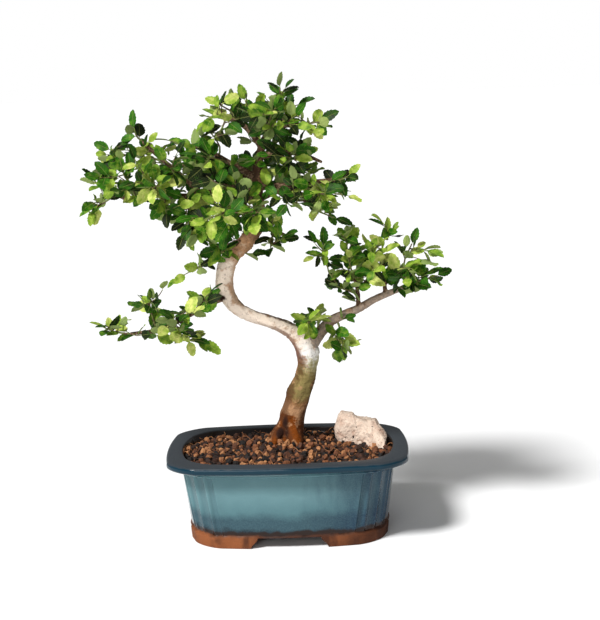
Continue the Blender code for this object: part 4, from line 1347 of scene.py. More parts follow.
    def build(self, shop: Workshop) -> None:
        """The pot, with its flutes, feet and drainage holes.

        Args:
            shop: Where finished pieces are handed over.
        """
        rings, pools, inner = [], [], []
        for inset, height, ridge, inside in self.levels():
            places, deep = self.ring(inset, height, ridge)
            rings.append(places)
            pools += deep
            inner += [inside] * len(places)
        pot = new_object("glazed_pot", *loft(rings))
        dress(pot.data, GlazeFinish().make(shop.carry))
        write_values(pot, "pool", pools)
        write_values(pot, "inner", inner)
        cutters = [self.foot_gap(self.gap_length, True), self.foot_gap(self.gap_width, False)]
        cutters += [self.drain(side) for side in (-1, 1)]
        for cutter in cutters:
            boolean = pot.modifiers.new("cut", "BOOLEAN")
            boolean.operation = "DIFFERENCE"
            boolean.object = cutter
            boolean.solver = "EXACT"
        settle(pot)
        for cutter in cutters:
            bpy.data.objects.remove(cutter, do_unlink=True)
        pot.data.shade_smooth()
        pot.data.set_sharp_from_angle(angle=math.radians(self.sharp_degrees))
        shop.hand_over(pot, Slot.GLAZE, "pot")


@dataclass
class Rock:
    """The angular accent stone: a tall block grown together with a lower one."""

    left: Rows = (
        (42, 30, 0), (46, 22, 0), (60, 17, 0), (67, 30, 0), (58, 42, 0), (44, 42, 0),
        (40, 30, 12), (44, 20.5, 13), (61, 15.5, 13), (41, 41, 12), (62, 42, 13),
        (44.5, 25, 26.5), (47.5, 21, 28.5), (56, 20, 27.5), (61, 22, 23.5), (58, 35, 25), (47, 35, 27.5),
    )
    right: Rows = (
        (60, 17, 0), (74, 5, 0), (81.5, -2.5, 0), (84.5, 8, 0), (83, 22, 0), (70, 38, 0), (60, 38, 0),
        (83.5, 0.5, 5), (86.5, 13, 8.5), (86, 22, 8.5), (84, 24, 12), (62.5, 19, 21.5), (71, 17.5, 19.5),
        (76, 20, 21.5), (77, 31, 20.5), (64, 34, 22), (78.5, 22, 17.5), (80, 32, 14),
    )
    saddle: Rows = (
        (54, 19, 4), (67, 13, 4), (56, 36, 6), (68, 37, 6), (54, 20, 25.5), (68, 18, 20.5), (55, 35, 24),
        (67, 33, 21.5),
    )
    base: float = 66.35 * MM
    voxel: float = 0.55 * MM
    softening: int = 4
    seed: int = 7

    def covers(self, x: float, y: float, margin: float) -> bool:
        """Whether a place on the soil lies under it or within the margin of it.

        Args:
            x: Place across.
            y: Place along.
            margin: How far outside its foot still counts.

        Returns:
            Whether it does.
        """
        corners = [Vector(corner[:2]) * MM for corner in self.left + self.right if corner[2] == 0]
        foot = [corners[i] for i in convex_hull_2d(corners)]
        for start, end in zip(foot, foot[1:] + foot[:1]):
            along = (end - start).normalized()
            if (Vector((x, y)) - start).dot(Vector((along.y, -along.x))) > margin:
                return False
        return True

    def blocks(self) -> Object:
        """The blocks and the saddle between them as hulls of their corners, in one mesh.

        Returns:
            The plain blocks.
        """
        bm = bmesh.new()
        for rows in (self.left, self.right, self.saddle):
            corners = [bm.verts.new((x * MM, y * MM, self.base + z * MM)) for x, y, z in rows]
            hull = bmesh.ops.convex_hull(bm, input=corners)
            inside = [part for part in hull["geom_interior"] if isinstance(part, bmesh.types.BMVert)]
            bmesh.ops.delete(bm, geom=inside, context="VERTS")
        bmesh.ops.recalc_face_normals(bm, faces=bm.faces)
        mesh = bpy.data.meshes.new("accent_stone")
        bm.to_mesh(mesh)
        bm.free()
        return shown("accent_stone", mesh)

    def build(self, shop: Workshop) -> None:
        """The stone with its broken faces, ledges and pits.

        Args:
            shop: Where finished pieces are handed over.
        """
        rock = fused(self.blocks(), self.voxel, self.softening)
        mesh = rock.data
        # Blender's vector noise starts from the clock unless it is seeded.
        noise.seed_set(self.seed)
        hollow_shades = []
        for vertex, normal in zip(mesh.vertices, [v.normal.copy() for v in mesh.vertices]):
            place = vertex.co / MM
            broad = noise.noise(place * 0.12)
            facets = noise.voronoi(place * 0.13 + 0.6 * noise.noise_vector(place * 0.2))[0]
            chips = noise.voronoi(place * 0.34 + 0.3 * noise.noise_vector(place * 0.5))[0]
            fine = noise.fractal(place * 0.5, 0.9, 2.1, 4)
            pits = max(0.0, noise.fractal(place * 0.33 + Vector((5.0, 1.0, 9.0)), 0.8, 2.0, 3) - 0.62)
            crack = max(0.0, 1.0 - abs(noise.noise(place * 0.09 + Vector((0.0, 7.7, 0.0)))) / 0.02)
            crack *= max(0.0, min(1.0, 5 * noise.noise(place * 0.07 + Vector((2.0, 0.0, 4.0))) - 0.3))
            lift = 0.9 * broad + 1.1 * (facets[1] - facets[0]) + 0.5 * (chips[1] - chips[0]) + 0.2 * fine
            lift -= 3.5 * pits + 0.8 * crack + 0.4
            vertex.co += normal * MM * (lift - 0.3)
            # How much painted shade each point's pit or crack gets.
            hollow_shades.append(min(1.0, 6 * pits + 0.9 * crack))
        write_values(rock, "hollow", hollow_shades)
        dress(mesh, RockFinish().make())
        mesh.shade_smooth()
        shop.hand_over(rock, Slot.ROCK, "rock")


@dataclass(frozen=True)
class Layer:
    """One layer of forms on the bed: how high it lies, how far apart and large its forms are, and how they tilt."""

    name: str
    lift: float
    spacing: float
    size: float
    seed: int
    tilt: float = math.pi


@dataclass
class Soil:
    """The bed of baked clay granules, with a few dead root fibres on it."""

    level: float = 66.0 * MM
    mound_height: float = 8.0 * MM
    mound_spread: float = 34.0 * MM
    cell: float = 3.0 * MM
    cell_lift: float = 0.6 * MM
    wall_gap: float = 4.0 * MM
    trunk_gap: float = 11.0 * MM
    under_rock: float = 1.5 * MM
    forms: int = 10
    densest: float = 400000.0
    spread: Pair = (0.66, 1.28)
    low: Layer = Layer("granules_low", -1.6 * MM, 3.7 * MM, 2.55 * MM, 31)
    top: Layer = Layer("granules_top", 0.9 * MM, 5.254 * MM, 2.856 * MM, 32)
    fibres: Layer = Layer("root_fibres", 3.0 * MM, 19.0 * MM, 13.0 * MM, 40, 0.25)
    seed: int = 31

    def height(self, x: float, y: float) -> float:
        """Height of the bed: level at the walls, mounded at the trunk."""
        away = math.hypot(x - TRUNK[1][0] * MM, y - TRUNK[1][1] * MM)
        return self.level + self.mound_height * math.exp(-((away / self.mound_spread) ** 2))

    def granule_form(self, number: int) -> Object:
        """One chunky granule of unit radius, as a sphere of flats with seeded dents.

        Args:
            number: Number of the form.

        Returns:
            An unlinked object.
        """
        bm = bmesh.new()
        bmesh.ops.create_cube(bm, size=1.2)
        bmesh.ops.subdivide_edges(bm, edges=bm.edges, cuts=1, use_grid_fill=True)
        draw = random.Random(self.seed + number)
        shape = Vector([draw.uniform(0.55, 1.2) for _ in range(3)])
        for vertex in bm.verts:
            out = vertex.co.normalized().lerp(vertex.co, 0.4)
            vertex.co = Vector([a * b for a, b in zip(out, shape)]) * draw.uniform(0.76, 1.16)
        mesh = bpy.data.meshes.new(f"granule_{number}")
        bm.to_mesh(mesh)
        bm.free()
        return bpy.data.objects.new(f"granule_{number}", mesh)

    def fibre_form(self, number: int) -> Object:
        """One thin bent root fibre of unit length.

        Args:
            number: Number of the form.

        Returns:
            An unlinked object.
        """
        draw = random.Random(self.seed + 50 + number)
        side = draw.uniform(-0.3, 0.3)
        path = []
        for i in range(7):
            t = i / 6
            place = Vector((t - 0.5, side * math.sin(math.pi * t), 0.12 * math.sin(2.4 * math.pi * t)))
            path.append((place, 0.022 * (1.1 - 0.6 * t)))
        mesh = turned_out(mesh_of(f"fibre_{number}", *tube(path, 4)))
        mesh.shade_smooth()
        return bpy.data.objects.new(mesh.name, mesh)

    def bed(self, pot: Pot, name: str, clear: Callable[[float, float], bool]) -> Object:
        """The surface that pieces are strewn on, inside the pot and clear of the trunk and rock.

        Args:
            pot: The pot that holds it.
            name: Name of the piece.
            clear: Whether a place is free.

        Returns:
            An open grid.
        """
        outline, _ = pot.ring(pot.lip_width + self.wall_gap, 0.0)
        xs, ys = zip(*sorted((point.x, point.y) for point in outline if point.y > 0))
        columns = math.ceil(pot.half_length / self.cell)
        rows = math.ceil(pot.half_width / self.cell)
        corner: dict[tuple[int, int], int] = {}
        points: list[Vector] = []
        faces: list[tuple[int, ...]] = []
        for i, j in product(range(-columns, columns), range(-rows, rows)):
            x, y = (i + 0.5) * self.cell, (j + 0.5) * self.cell
            if abs(x) > xs[-1] or abs(y) > np.interp(x, xs, ys) or not clear(x, y):
                continue
            loop = []
            for place in ((i, j), (i + 1, j), (i + 1, j + 1), (i, j + 1)):
                if place not in corner:
                    corner[place] = len(points)
                    px, py = place[0] * self.cell, place[1] * self.cell
                    points.append(Vector((px, py, self.height(px, py) + self.cell_lift)))
                loop.append(corner[place])
            faces.append(tuple(loop))
        return shown(name, mesh_of(name, points, faces))

    def strewing(self) -> GrowthTree:
        """The tree that strews forms over a surface, each turned, sized and tinted by a fixed seed.

        Returns:
            The tree.
        """
        tree = GrowthTree("strewing")
        spacing = tree.ask("Spacing", "Float")
        size = tree.ask("Size", "Float")
        seed = tree.ask("Seed", "Int")
        forms = tree.ask("Forms", "Collection")
        tilt = tree.ask("Tilt", "Float")
        finish = tree.ask("Finish", "Material")
        spots = tree.step(
            "GeometryNodeDistributePointsOnFaces",
            {"Mesh": tree.start.outputs["Geometry"], "Distance Min": spacing, "Density Max": self.densest,
             "Seed": seed},
            distribute_method="POISSON",
        )
        low = tree.step("ShaderNodeCombineXYZ", {"Z": -math.pi})
        high = tree.step("ShaderNodeCombineXYZ", {"X": tilt, "Y": tilt, "Z": math.pi})
        scale = tree.step("ShaderNodeMath", {}, operation="MULTIPLY")
        for number, factor in enumerate((tree.drawn(*self.spread, 3), size)):
            tree.group.links.new(factor, scale.node.inputs[number])
        pick = tree.drawn(0, self.forms - 1, 5, "INT")
        laid = tree.laid(spots, forms, pick, tree.drawn(low, high, seed, "FLOAT_VECTOR"), scale)
        tinted = tree.kept(laid, "tint", tree.drawn(0.0, 1.0, 8), "FLOAT", "INSTANCE")
        real = tree.step("GeometryNodeRealizeInstances", {"Geometry": tinted})
        tree.close(tree.dressed(real, finish))
        return tree

    def build(self, shop: Workshop, pot: Pot, rock: Rock) -> None:
        """The granules in two layers and the fibres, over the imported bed.

        Args:
            shop: Where finished pieces are handed over.
            pot: The pot that holds them.
            rock: The stone that they lie round.
        """
        finish = GranuleFinish()
        clay = finish.make()
        # The imported bed is kept dark, painted shade in the gaps between the granules.
        dress(frame["nodes"]["soil"].data, finish.make_shaded_bed())
        trunk_x, trunk_y = TRUNK[1][0] * MM, TRUNK[1][1] * MM

        def clear(x: float, y: float) -> bool:
            """Whether a place is away from the trunk and from the middle of the stone's foot."""
            away = math.hypot(x - trunk_x, y - trunk_y)
            return away > self.trunk_gap and not rock.covers(x, y, -self.under_rock)

        granules = group_of("granule_forms", [self.granule_form(number) for number in range(self.forms)])
        fibres = group_of("fibre_forms", [self.fibre_form(number) for number in range(self.forms)])
        tree = self.strewing()
        kinds = ((self.low, granules, clay), (self.top, granules, clay), (self.fibres, fibres, finish.make_fibre()))
        for layer, forms, material in kinds:
            piece = self.bed(pot, layer.name, clear)
            piece.data.transform(Matrix.Translation((0, 0, layer.lift)))
            tree.carry_out(piece, {
                "Spacing": layer.spacing, "Size": layer.size, "Seed": layer.seed, "Forms": forms, "Tilt": layer.tilt,
                "Finish": material,
            })
            shop.hand_over(piece, Slot.GRANULES)
        discard(granules, fibres)


@dataclass
class Wood:
    """Trunk, surface roots and limbs, grown as one piece."""

    trunk_sides: int = 10
    limb_sides: int = 5
    stout_sides: int = 8
    root_sides: int = 6
    stout: float = 5.0 * MM
    trunk_step: float = 10.0 * MM
    limb_step: float = 17.0 * MM
    relief: float = 0.07
    fine_step: float = 2.5 * MM
    fine_sides: int = 28
    limb_relief: float = 0.03
    stout_bark: float = 0.75
    ground: float = 66.0 * MM
    voxel: float = 0.8 * MM
    softening: int = 2
    neighbours: int = 16
    furrow_width: float = 0.09
    full_bark: float = 6.0 * MM
    knobbly: tuple[float, float, float] = (0.62, 0.05, 1.4)
    swelling: tuple[float, float, float] = (0.27, 0.07, 0.8)

    def root_rows(self, bearing: float, reach: float, radius: float) -> Rows:
        """Rows of one surface root, out of the trunk's foot and down into the soil.

        Args:
            bearing: Degrees from +X.
            reach: How far it runs, in mm.
            radius: Greatest radius in mm.

        Returns:
            Its rows, as a limb has them.
        """
        x, y = TRUNK[1][:2]
        turn = math.radians(bearing)
        return tuple(
            (x + reach * share * math.cos(turn), y + reach * share * math.sin(turn), height, radius * size)
            for share, height, size in ROOT_RUN
        )

    def solid_trees(self) -> list[BVHTree]:
        """Search trees of the solids' trunk, roots and limbs.

        Returns:
            One search tree for each.
        """
        tubes = [tube(smooth_path(TRUNK, self.trunk_step), self.trunk_sides, self.relief)]
        tubes += [tube(smooth_path(self.root_rows(*root), self.limb_step), self.root_sides) for root in ROOTS]
        for rows in LIMBS.values():
            sides = self.stout_sides if rows[0][3] * MM > self.stout else self.limb_sides
            tubes.append(tube(smooth_path(rows, self.limb_step), sides))
        return [BVHTree.FromPolygons(*made) for made in tubes]

    def path(self, limb: str) -> Path:
        """The path of the trunk or of a limb, as the solids follow it.

        Args:
            limb: Its name.

        Returns:
            Places and radii.
        """
        if limb == "trunk":
            return smooth_path(TRUNK, self.trunk_step)
        return smooth_path(LIMBS[limb], self.limb_step)

    def samples(self) -> list[tuple[Path, float]]:
        """Fine paths of the trunk, roots and limbs.

        Returns:
            Each path, with 0 for the trunk's bark up to 1 for a thin limb's.
        """
        found = [(smooth_path(TRUNK, self.fine_step), 0.0)]
        found += [(smooth_path(self.root_rows(*root), self.fine_step), 0.0) for root in ROOTS]
        for rows in LIMBS.values():
            kind = self.stout_bark if rows[0][3] * MM > self.stout else 1.0
            found.append((smooth_path(rows, self.fine_step), kind))
        return found

    def build(self, shop: Workshop) -> None:
        """The whole wood with its bark, knots and scars.

        Args:
            shop: Where finished pieces are handed over.
        """
        points: list[Vector] = []
        faces: list[tuple[int, ...]] = []
        knots: Knots = []
        top = TRUNK[-1][2] * MM
        for path, kind in self.samples():
            more, skin = tube(path, self.fine_sides, self.relief if kind == 0.0 else self.limb_relief)
            base = len(points)
            points += more
            faces += [tuple(base + i for i in face) for face in skin]
            for (place, radius), along in zip(path, tangents(path)):
                knots.append((place, along, radius, (place.z - self.ground) / (top - self.ground), kind))
        wood = new_object("tree", points, faces)
        dress(wood.data, BarkFinish().make())
        fused(wood, self.voxel, self.softening)
        self.bark(wood, knots)
        wood.data.shade_smooth()
        shop.hand_over(wood, Slot.BARK, "tree_wood")

    def bark(self, wood: Object, knots: Knots) -> None:
        """Raise the bark's plates and furrows, note where each point lies, and mark the painted shade of its furrows
        and hollows.

        Args:
            wood: The plain wood.
            knots: Place, direction, radius, climb and kind of bark along every path.
        """
        finder = finder_of([knot[0] for knot in knots])
        scars = [(Vector(row[:3]) * MM, row[3] * MM, row[4] * MM, row[5]) for row in SCARS]
        values: dict[str, list[float]] = {name: [] for name in ("side", "top", "climb", "limb", "hollow")}

        def peak(value: float, middle: float, reach: float, most: float) -> float:
            """A value's nearness to a middle, from 0 to the most."""
            return most * max(0.0, 1.0 - abs(value - middle) / reach)

        normals = [vertex.normal.copy() for vertex in wood.data.vertices]
        for vertex, normal in zip(wood.data.vertices, normals):
            found = finder.find_n(vertex.co, self.neighbours)
            number = min(found, key=lambda item: item[2] - knots[item[1]][2])[1]
            _, along, radius, climb, kind = knots[number]
            flat = (vertex.co - 0.65 * along * vertex.co.dot(along)) / MM
            broad = noise.noise(flat * 0.16)
            plates = noise.noise(flat * 0.42 + Vector((4.0, 0.0, 2.0)))
            furrow = peak(noise.noise(flat * 0.3 + Vector((0.0, 9.0, 0.0))), 0.0, self.furrow_width, 1.0)
            furrow *= 0.35 if kind == 0.0 else 0.6
            fine = noise.noise(vertex.co / MM * 1.3)
            depth = min(1.0, radius / self.full_bark) * (1.0 + peak(climb, *self.knobbly))
            lift = (0.55 * broad + 0.3 * plates + 0.12 * fine - 0.4 * furrow) * depth + 0.3 * min(1.0, depth)
            lift = MM * (lift + (peak(climb, *self.swelling) if kind == 0.0 else 0.0))
            # dark: painted shade in the furrows and front hollows; at the cut knot partly its own dark colour, and a
            # little over the swelling.
            dark = 0.35 * furrow
            for place, reach, deep, tall in scars:
                away = vertex.co - place
                near = max(0.0, 1.0 - Vector((away.x, away.y, away.z * tall)).length / reach)
                lift -= deep * near * near
                dark = max(dark, min(1.0, (1.6 if deep > 0.0 else 0.4) * near))
            vertex.co += normal * lift
            for row, value in zip(values.values(), (normal.x, normal.z, climb, kind, dark)):
                row.append(value)
        for name, row in values.items():
            write_values(wood, name, row)


@dataclass(frozen=True)
class LeafShape:
    """How one form of leaf lies: its folds and curls, as shares of its length or width."""

    width: float = 1.0
    fold: float = 0.32
    dome: float = 0.1
    droop: float = 0.1
    twist: float = 0.0
    wave: float = 0.0


class LeafForm(Enum):
    """The forms of leaf that the sprays draw from."""

    PLAIN = LeafShape()
    CUPPED = LeafShape(width=0.94, fold=0.5, dome=0.06, droop=0.04, twist=0.1)
    ARCHED = LeafShape(width=1.04, fold=0.22, dome=0.16, droop=0.3, twist=-0.15)
    WAVED = LeafShape(width=1.1, fold=0.18, dome=0.1, droop=0.12, twist=0.2, wave=0.05)
    BROAD = LeafShape(width=1.16, fold=0.26, dome=0.2, droop=0.2)


class Crowd:
    """Test skins of leaves and twigs, kept by place, so that a new leaf is tested against its neighbours."""

    def __init__(self, cell: float) -> None:
        """Start an empty crowd with cells of a size."""
        self.cell = cell
        self.kept: dict[tuple[int, int, int], list[BVHTree]] = {}

    def key(self, place: Vector) -> tuple[int, int, int]:
        """The cell that holds a place."""
        return tuple(math.floor(part / self.cell) for part in place)

    def add(self, place: Vector, tree: BVHTree) -> None:
        """Keep a test skin at its place."""
        self.kept.setdefault(self.key(place), []).append(tree)

    def near(self, place: Vector) -> list[BVHTree]:
        """The test skins in the cells round a place.

        Args:
            place: The place.

        Returns:
            The test skins.
        """
        x, y, z = self.key(place)
        cells = [(x + i, y + j, z + k) for i, j, k in product((-1, 0, 1), repeat=3)]
        return [tree for cell in cells for tree in self.kept.get(cell, [])]


@dataclass
class Canopy:
    """Every leafy spray, with the solids' leaves in full detail and more shoots between them."""

    twig_sides: int = 3
    twig_radius: float = 0.85 * MM
    twig_steps: int = 3
    twig_square: float = 1.2 * MM
    twig_wander: float = 2.5 * MM
    tip_short: float = 2.0 * MM
    leafy_length: float = 20.0 * MM
    leaf_length: float = 16.5 * MM
    leaf_half_width: float = 4.7 * MM
    leaf_thickness: float = 0.7 * MM
    leaf_fold: float = 0.32
    leaf_clearance: float = 0.6 * MM
    leaf_tries: int = 14
    spread: Pair = (0.9, 1.15)
    tip_spread: Pair = (0.0, 0.3)
    lift: Pair = (-0.25, 0.35)
    sizes: Pair = (0.82, 1.08)
    faces: Vector = field(default_factory=lambda: Vector((0.0, -0.5, 0.85)))
    seed: int = 400
    edge: Rows = ((0.17, 0.55), (0.44, 1.0), (0.51, 0.84), (0.76, 0.62))
    gap: float = 0.35 * MM
    shoot_seed: int = 900
    # Leaves near this middle of the crown are darker and outer ones paler, as painted shade and light.
    shade_middle: Vector = field(default_factory=lambda: Vector((-35.0, 0.0, 298.0)) * MM)
    shade_reach: float = 150.0 * MM
    shoot_length: float = 16.0 * MM
    shoot_reach: float = 48.0 * MM
    shoot_leaves: tuple[int, int] = (3, 5)
    shoot_sizes: Pair = (0.62, 1.12)
    shoot_tip: float = 4.0 * MM
    shoot_bend: float = 2.5 * MM
    shoot_leafy: float = 17.0 * MM
    shoot_falls: float = 0.5
    room: tuple[float, float, float] = (159.0 * MM, 82.0 * MM, 391.0 * MM)
    petiole: float = 1.6 * MM
    teeth: int = 5
    twig_taper: Pair = (1.15, 0.45)
    shoot_taper: Pair = (0.75, 0.35)
    shoot_steps: int = 5
    first_leaf: float = 0.25
    wild: float = 0.35
    shoot_wild: float = 0.5
    wild_step: float = 0.09
    bare_base: float = 0.12
    crowd_cell: float = 26.0 * MM
    start_step: float = 4.0 * MM
    twig_starts: int = 8
    trunk_from: float = 240.0 * MM
    twig_tint: float = 0.2
    mood: Pair = (0.31, 0.08)
    outer_light: float = 0.26
    tint_spread: float = 0.27
    palest: float = 0.88
    drawn_sides: int = 6
    sharp_degrees: float = 75.0

    def bent(self, start: Vector, bend: Vector, end: Vector, steps: int, taper: Pair) -> Path:
        """A bent twig between two ends.

        Args:
            start: Where it starts.
            bend: The place that it bends towards.
            end: Where it ends.
            steps: Number of its straight parts.
            taper: Its radius at the start and how much less it is at the end, as shares of the twig radius.

        Returns:
            Places and radii.
        """
        path = []
        for i in range(steps + 1):
            t = i / steps
            place = start * (1 - t) ** 2 + bend * 2 * t * (1 - t) + end * t**2
            path.append((place, self.twig_radius * (taper[0] - taper[1] * t)))
        return path

    def twig_path(self, wood: Wood, limb: str, share: float, centre: Vector, draw: random.Random) -> Path:
        """A spray's twig: square off the limb, then bent over to the middle of its clump of leaves.

        Args:
            wood: The wood that it grows from.
            limb: Name of its limb.
            share: Where on the limb it starts.
            centre: Middle of its leaves.
            draw: Its own seeded draws.

        Returns:
            Places and radii.
        """
        root, radius, direction = place_on(wood.path(limb), share)
        aim = centre - root
        if share >= 1.0:
            square = direction
            radius = 0.0
        else:
            square = (aim - direction * aim.dot(direction)).normalized()
        start = root + square * (radius + self.gap)
        end = root + aim * (1 - self.tip_short / aim.length)
        bend = start + square * 0.45 * (end - start).length
        bend += wander(draw, self.twig_wander)
        path = self.bent(start, bend, end, self.twig_steps, self.twig_taper)
        first = start + square * self.twig_square
        return [path[0], (first, path[0][1]), *path[1:]]

    def twig_tree(self, twig: Path) -> BVHTree:
        """Search tree of a twig, a little thicker than it is."""
        return BVHTree.FromPolygons(*tube(twig, self.twig_sides, 0.0, self.gap))

    def leaf_frame(self, base: Vector, direction: Vector, normal: Vector, length: float) -> Matrix:
        """The place of a leaf: X along the rib, Y across and Z out of its face.

        Args:
            base: Where it leaves the twig.
            direction: Where it points.
            normal: Where its face looks, about.
            length: Its length.

        Returns:
            The matrix of the place.
        """
        along = direction.normalized()
        out = (normal - along * normal.dot(along)).normalized()
        across = out.cross(along)
        turned = Matrix((along, across, out)).transposed().to_4x4()
        return Matrix.Translation(base) @ turned @ Matrix.Scale(length / self.leaf_length, 4)

    def test_leaf(self, matrix: Matrix, swell: float, start: float) -> BVHTree:
        """Search tree of the solids' plain leaf.

        Args:
            matrix: Its place.
            swell: How much larger it is all round.
            start: Share of its length that is left off at its base.

        Returns:
            The search tree.
        """
        size = matrix.to_scale().x
        half = (0.5 * self.leaf_thickness + swell) / size
        edge = [(share * self.leaf_length, part * (self.leaf_half_width + swell)) for share, part in self.edge]
        outline = [(start * self.leaf_length, 0.0), *edge, (self.leaf_length + swell, 0.0)]
        outline += [(x, -y) for x, y in reversed(edge)]
        points = [
            matrix @ Vector((x, y, side + self.leaf_fold * abs(y))) for side in (half, -half) for x, y in outline
        ]
        count = len(outline)
        tip = len(edge) + 1
        flat = [(0, i, i + 1) for i in range(1, tip)]
        flat += [(0, i, i + 1) for i in range(tip, count - 1)]
        faces = [(c, b, a) for a, b, c in flat]
        faces += [(a + count, b + count, c + count) for a, b, c in flat]
        for i in range(count):
            j = (i + 1) % count
            faces.append((i, j, j + count))
            faces.append((i, j + count, i + count))
        return BVHTree.FromPolygons(points, faces)

    def leaves_on(self, twig: Path, leaves: int, first: float, draw: random.Random, wild_base: float,
                  near: Callable[[Vector], list[BVHTree]], own: list[BVHTree],
                  sizes: Pair) -> list[Matrix]:
        """Places of the leaves of one twig: alternate, in two ranks, each bent clear of all that is near.

        Args:
            twig: The twig.
            leaves: How many are tried.
            first: Share of the twig where they start.
            draw: Its own seeded draws.
            wild_base: How far a leaf's face may turn at the first try.
            near: Test skins round a place.
            own: Test skins of this twig's leaves, which grows.
            sizes: Smallest and largest leaf, as shares of the full length.

        Returns:
            A matrix for each leaf that found room.
        """
        frames = []
        for k in range(leaves):
            share = first + (1 - first) * k / (leaves - 1)
            place, _, along = place_on(twig, share)
            last = k == leaves - 1
            for attempt in range(self.leaf_tries):
                spread = draw.uniform(*(self.tip_spread if last else self.spread))
                wild = wild_base + self.wild_step * attempt
                sky = self.faces + Vector([draw.gauss(0, wild) for _ in range(3)])
                flat = (sky - along * sky.dot(along)).normalized()
                side = flat.cross(along) * (1 if k % 2 else -1)
                direction = along * math.cos(spread) + side * math.sin(spread) + flat * draw.uniform(*self.lift)
                length = self.leaf_length * draw.uniform(*sizes)
                matrix = self.leaf_frame(place, direction, sky, length)
                test = self.test_leaf(matrix, self.leaf_clearance, self.bare_base)
                if clear_of(test, near(place)) and clear_of(test, own):
                    frames.append(matrix)
                    own.append(test)
                    break
        return frames

    def lay_out(self, wood: Wood) -> tuple[list[Path], list[list[Matrix]], Crowd]:
        """Twigs and leaves exactly as the solids have them.

        Args:
            wood: The wood that they grow from.

        Returns:
            The twigs, the leaf places of each, and a crowd of all their test skins.
        """
        fixed = wood.solid_trees()
        draws = [random.Random(self.seed + number) for number in range(len(SPRAYS))]
        twigs: list[Path] = []
        tests: list[BVHTree] = []
        for (limb, share, centre, _), draw in zip(SPRAYS, draws):
            for _ in range(self.leaf_tries):
                twig = self.twig_path(wood, limb, share, Vector(centre) * MM, draw)
                test = self.twig_tree(twig)
                if clear_of(test, tests) and clear_of(self.twig_tree(twig[1:]), fixed):
                    break
            twigs.append(twig)
            tests.append(test)
        placed: list[tuple[Vector, BVHTree]] = []
        frames: list[list[Matrix]] = []
        crowd = Crowd(self.crowd_cell)
        for number, twig in enumerate(twigs):
            others = [(Vector(SPRAYS[k][2]) * MM, tree) for k, tree in enumerate(tests) if k != number]
            others += [(Vector(SPRAYS[number][2]) * MM, tree) for tree in fixed]
            others += placed

            def near(place: Vector, others: list[tuple[Vector, BVHTree]] = others) -> list[BVHTree]:
                """Test skins of other sprays within three leaf lengths."""
                return [tree for centre, tree in others if (centre - place).length < 3 * self.leaf_length]

            whole = sum((b - a).length for (a, _), (b, _) in zip(twig, twig[1:]))
            first = max(self.first_leaf, 1 - self.leafy_length / whole)
            own: list[BVHTree] = []
            found = self.leaves_on(twig, SPRAYS[number][3], first, draws[number], self.wild, near, own, self.sizes)
            placed += [(matrix.translation.copy(), tree) for matrix, tree in zip(found, own)]
            frames.append(found)
        for place, tree in placed:
            crowd.add(place, tree)
        return twigs, frames, crowd

    def starts(self, twigs: list[Path]) -> KDTree:
        """Places where a shoot can start, all along the limbs and the sprays' twigs.

        Args:
            twigs: The sprays' twigs.

        Returns:
            A finder of these places.
        """
        paths = [smooth_path(rows, self.start_step) for rows in LIMBS.values()]
        shares = [i / self.twig_starts for i in range(1, self.twig_starts + 1)]
        paths += [[(place_on(twig, share)[0], 0.0) for share in shares] for twig in twigs]
        paths.append([knot for knot in smooth_path(TRUNK, self.start_step) if knot[0].z > self.trunk_from])
        return finder_of([place for path in paths for place, _ in path])

    def shoot(self, finder: KDTree, row: tuple[float, ...], crowd: Crowd, fixed: list[BVHTree]
              ) -> tuple[Path, list[Matrix], list[BVHTree]]:
        """A thin leafy shoot, from wood about one shoot's length away and rather from below.

        Args:
            finder: Places where it can start.
            row: Middle of its leaves in mm, and its seed.
            crowd: Test skins of the leaves that are there already.
            fixed: Test skins of the wood.

        Returns:
            Its path, leaves and their test skins, with no leaves where it finds no room.
        """
        draw = random.Random(int(row[3]))
        end = Vector(row[:3]) * MM
        near = finder.find_range(end, self.shoot_reach)
        if not near:
            return [], [], []

        def strain(found: tuple[Vector, int, float]) -> float:
            """How far a start is from an easy one."""
            return abs(found[2] - self.shoot_length) + self.shoot_falls * max(0.0, found[0].z - end.z)

        start = min(near, key=strain)[0]
        end = end - (end - start).normalized() * self.shoot_tip
        bend = start.lerp(end, 0.5) + wander(draw, self.shoot_bend)
        path = self.bent(start, bend, end, self.shoot_steps, self.shoot_taper)
        first = max(self.first_leaf, 1 - self.shoot_leafy / max((end - start).length, MM))
        own: list[BVHTree] = []
        leaves = self.leaves_on(
            path, draw.randint(*self.shoot_leaves), first, draw, self.shoot_wild,
            lambda place: crowd.near(place) + fixed, own, self.shoot_sizes,
        )
        kept = [
            (matrix, test) for matrix, test in zip(leaves, own)
            if all(abs(part) < most for part, most in zip(matrix @ Vector((self.leaf_length, 0, 0)), self.room))
        ]
        return path, [matrix for matrix, _ in kept], [test for _, test in kept]

    def leaf_mesh(self, name: str, shape: LeafShape) -> Object:
        """One leaf with a toothed edge, a rib and a short stalk, at the solids' leaf length.

        Args:
            name: Name of the form.
            shape: How it lies.

        Returns:
            An unlinked object.
        """
        stations = [0.0]
        for tooth in range(self.teeth):
            stations += [(tooth + 0.55) / (self.teeth + 0.6), (tooth + 0.98) / (self.teeth + 0.6)]
        stations.append(1.0)
        span = self.leaf_length - self.petiole
        points: list[Vector] = []
        maps: list[tuple[float, float]] = []

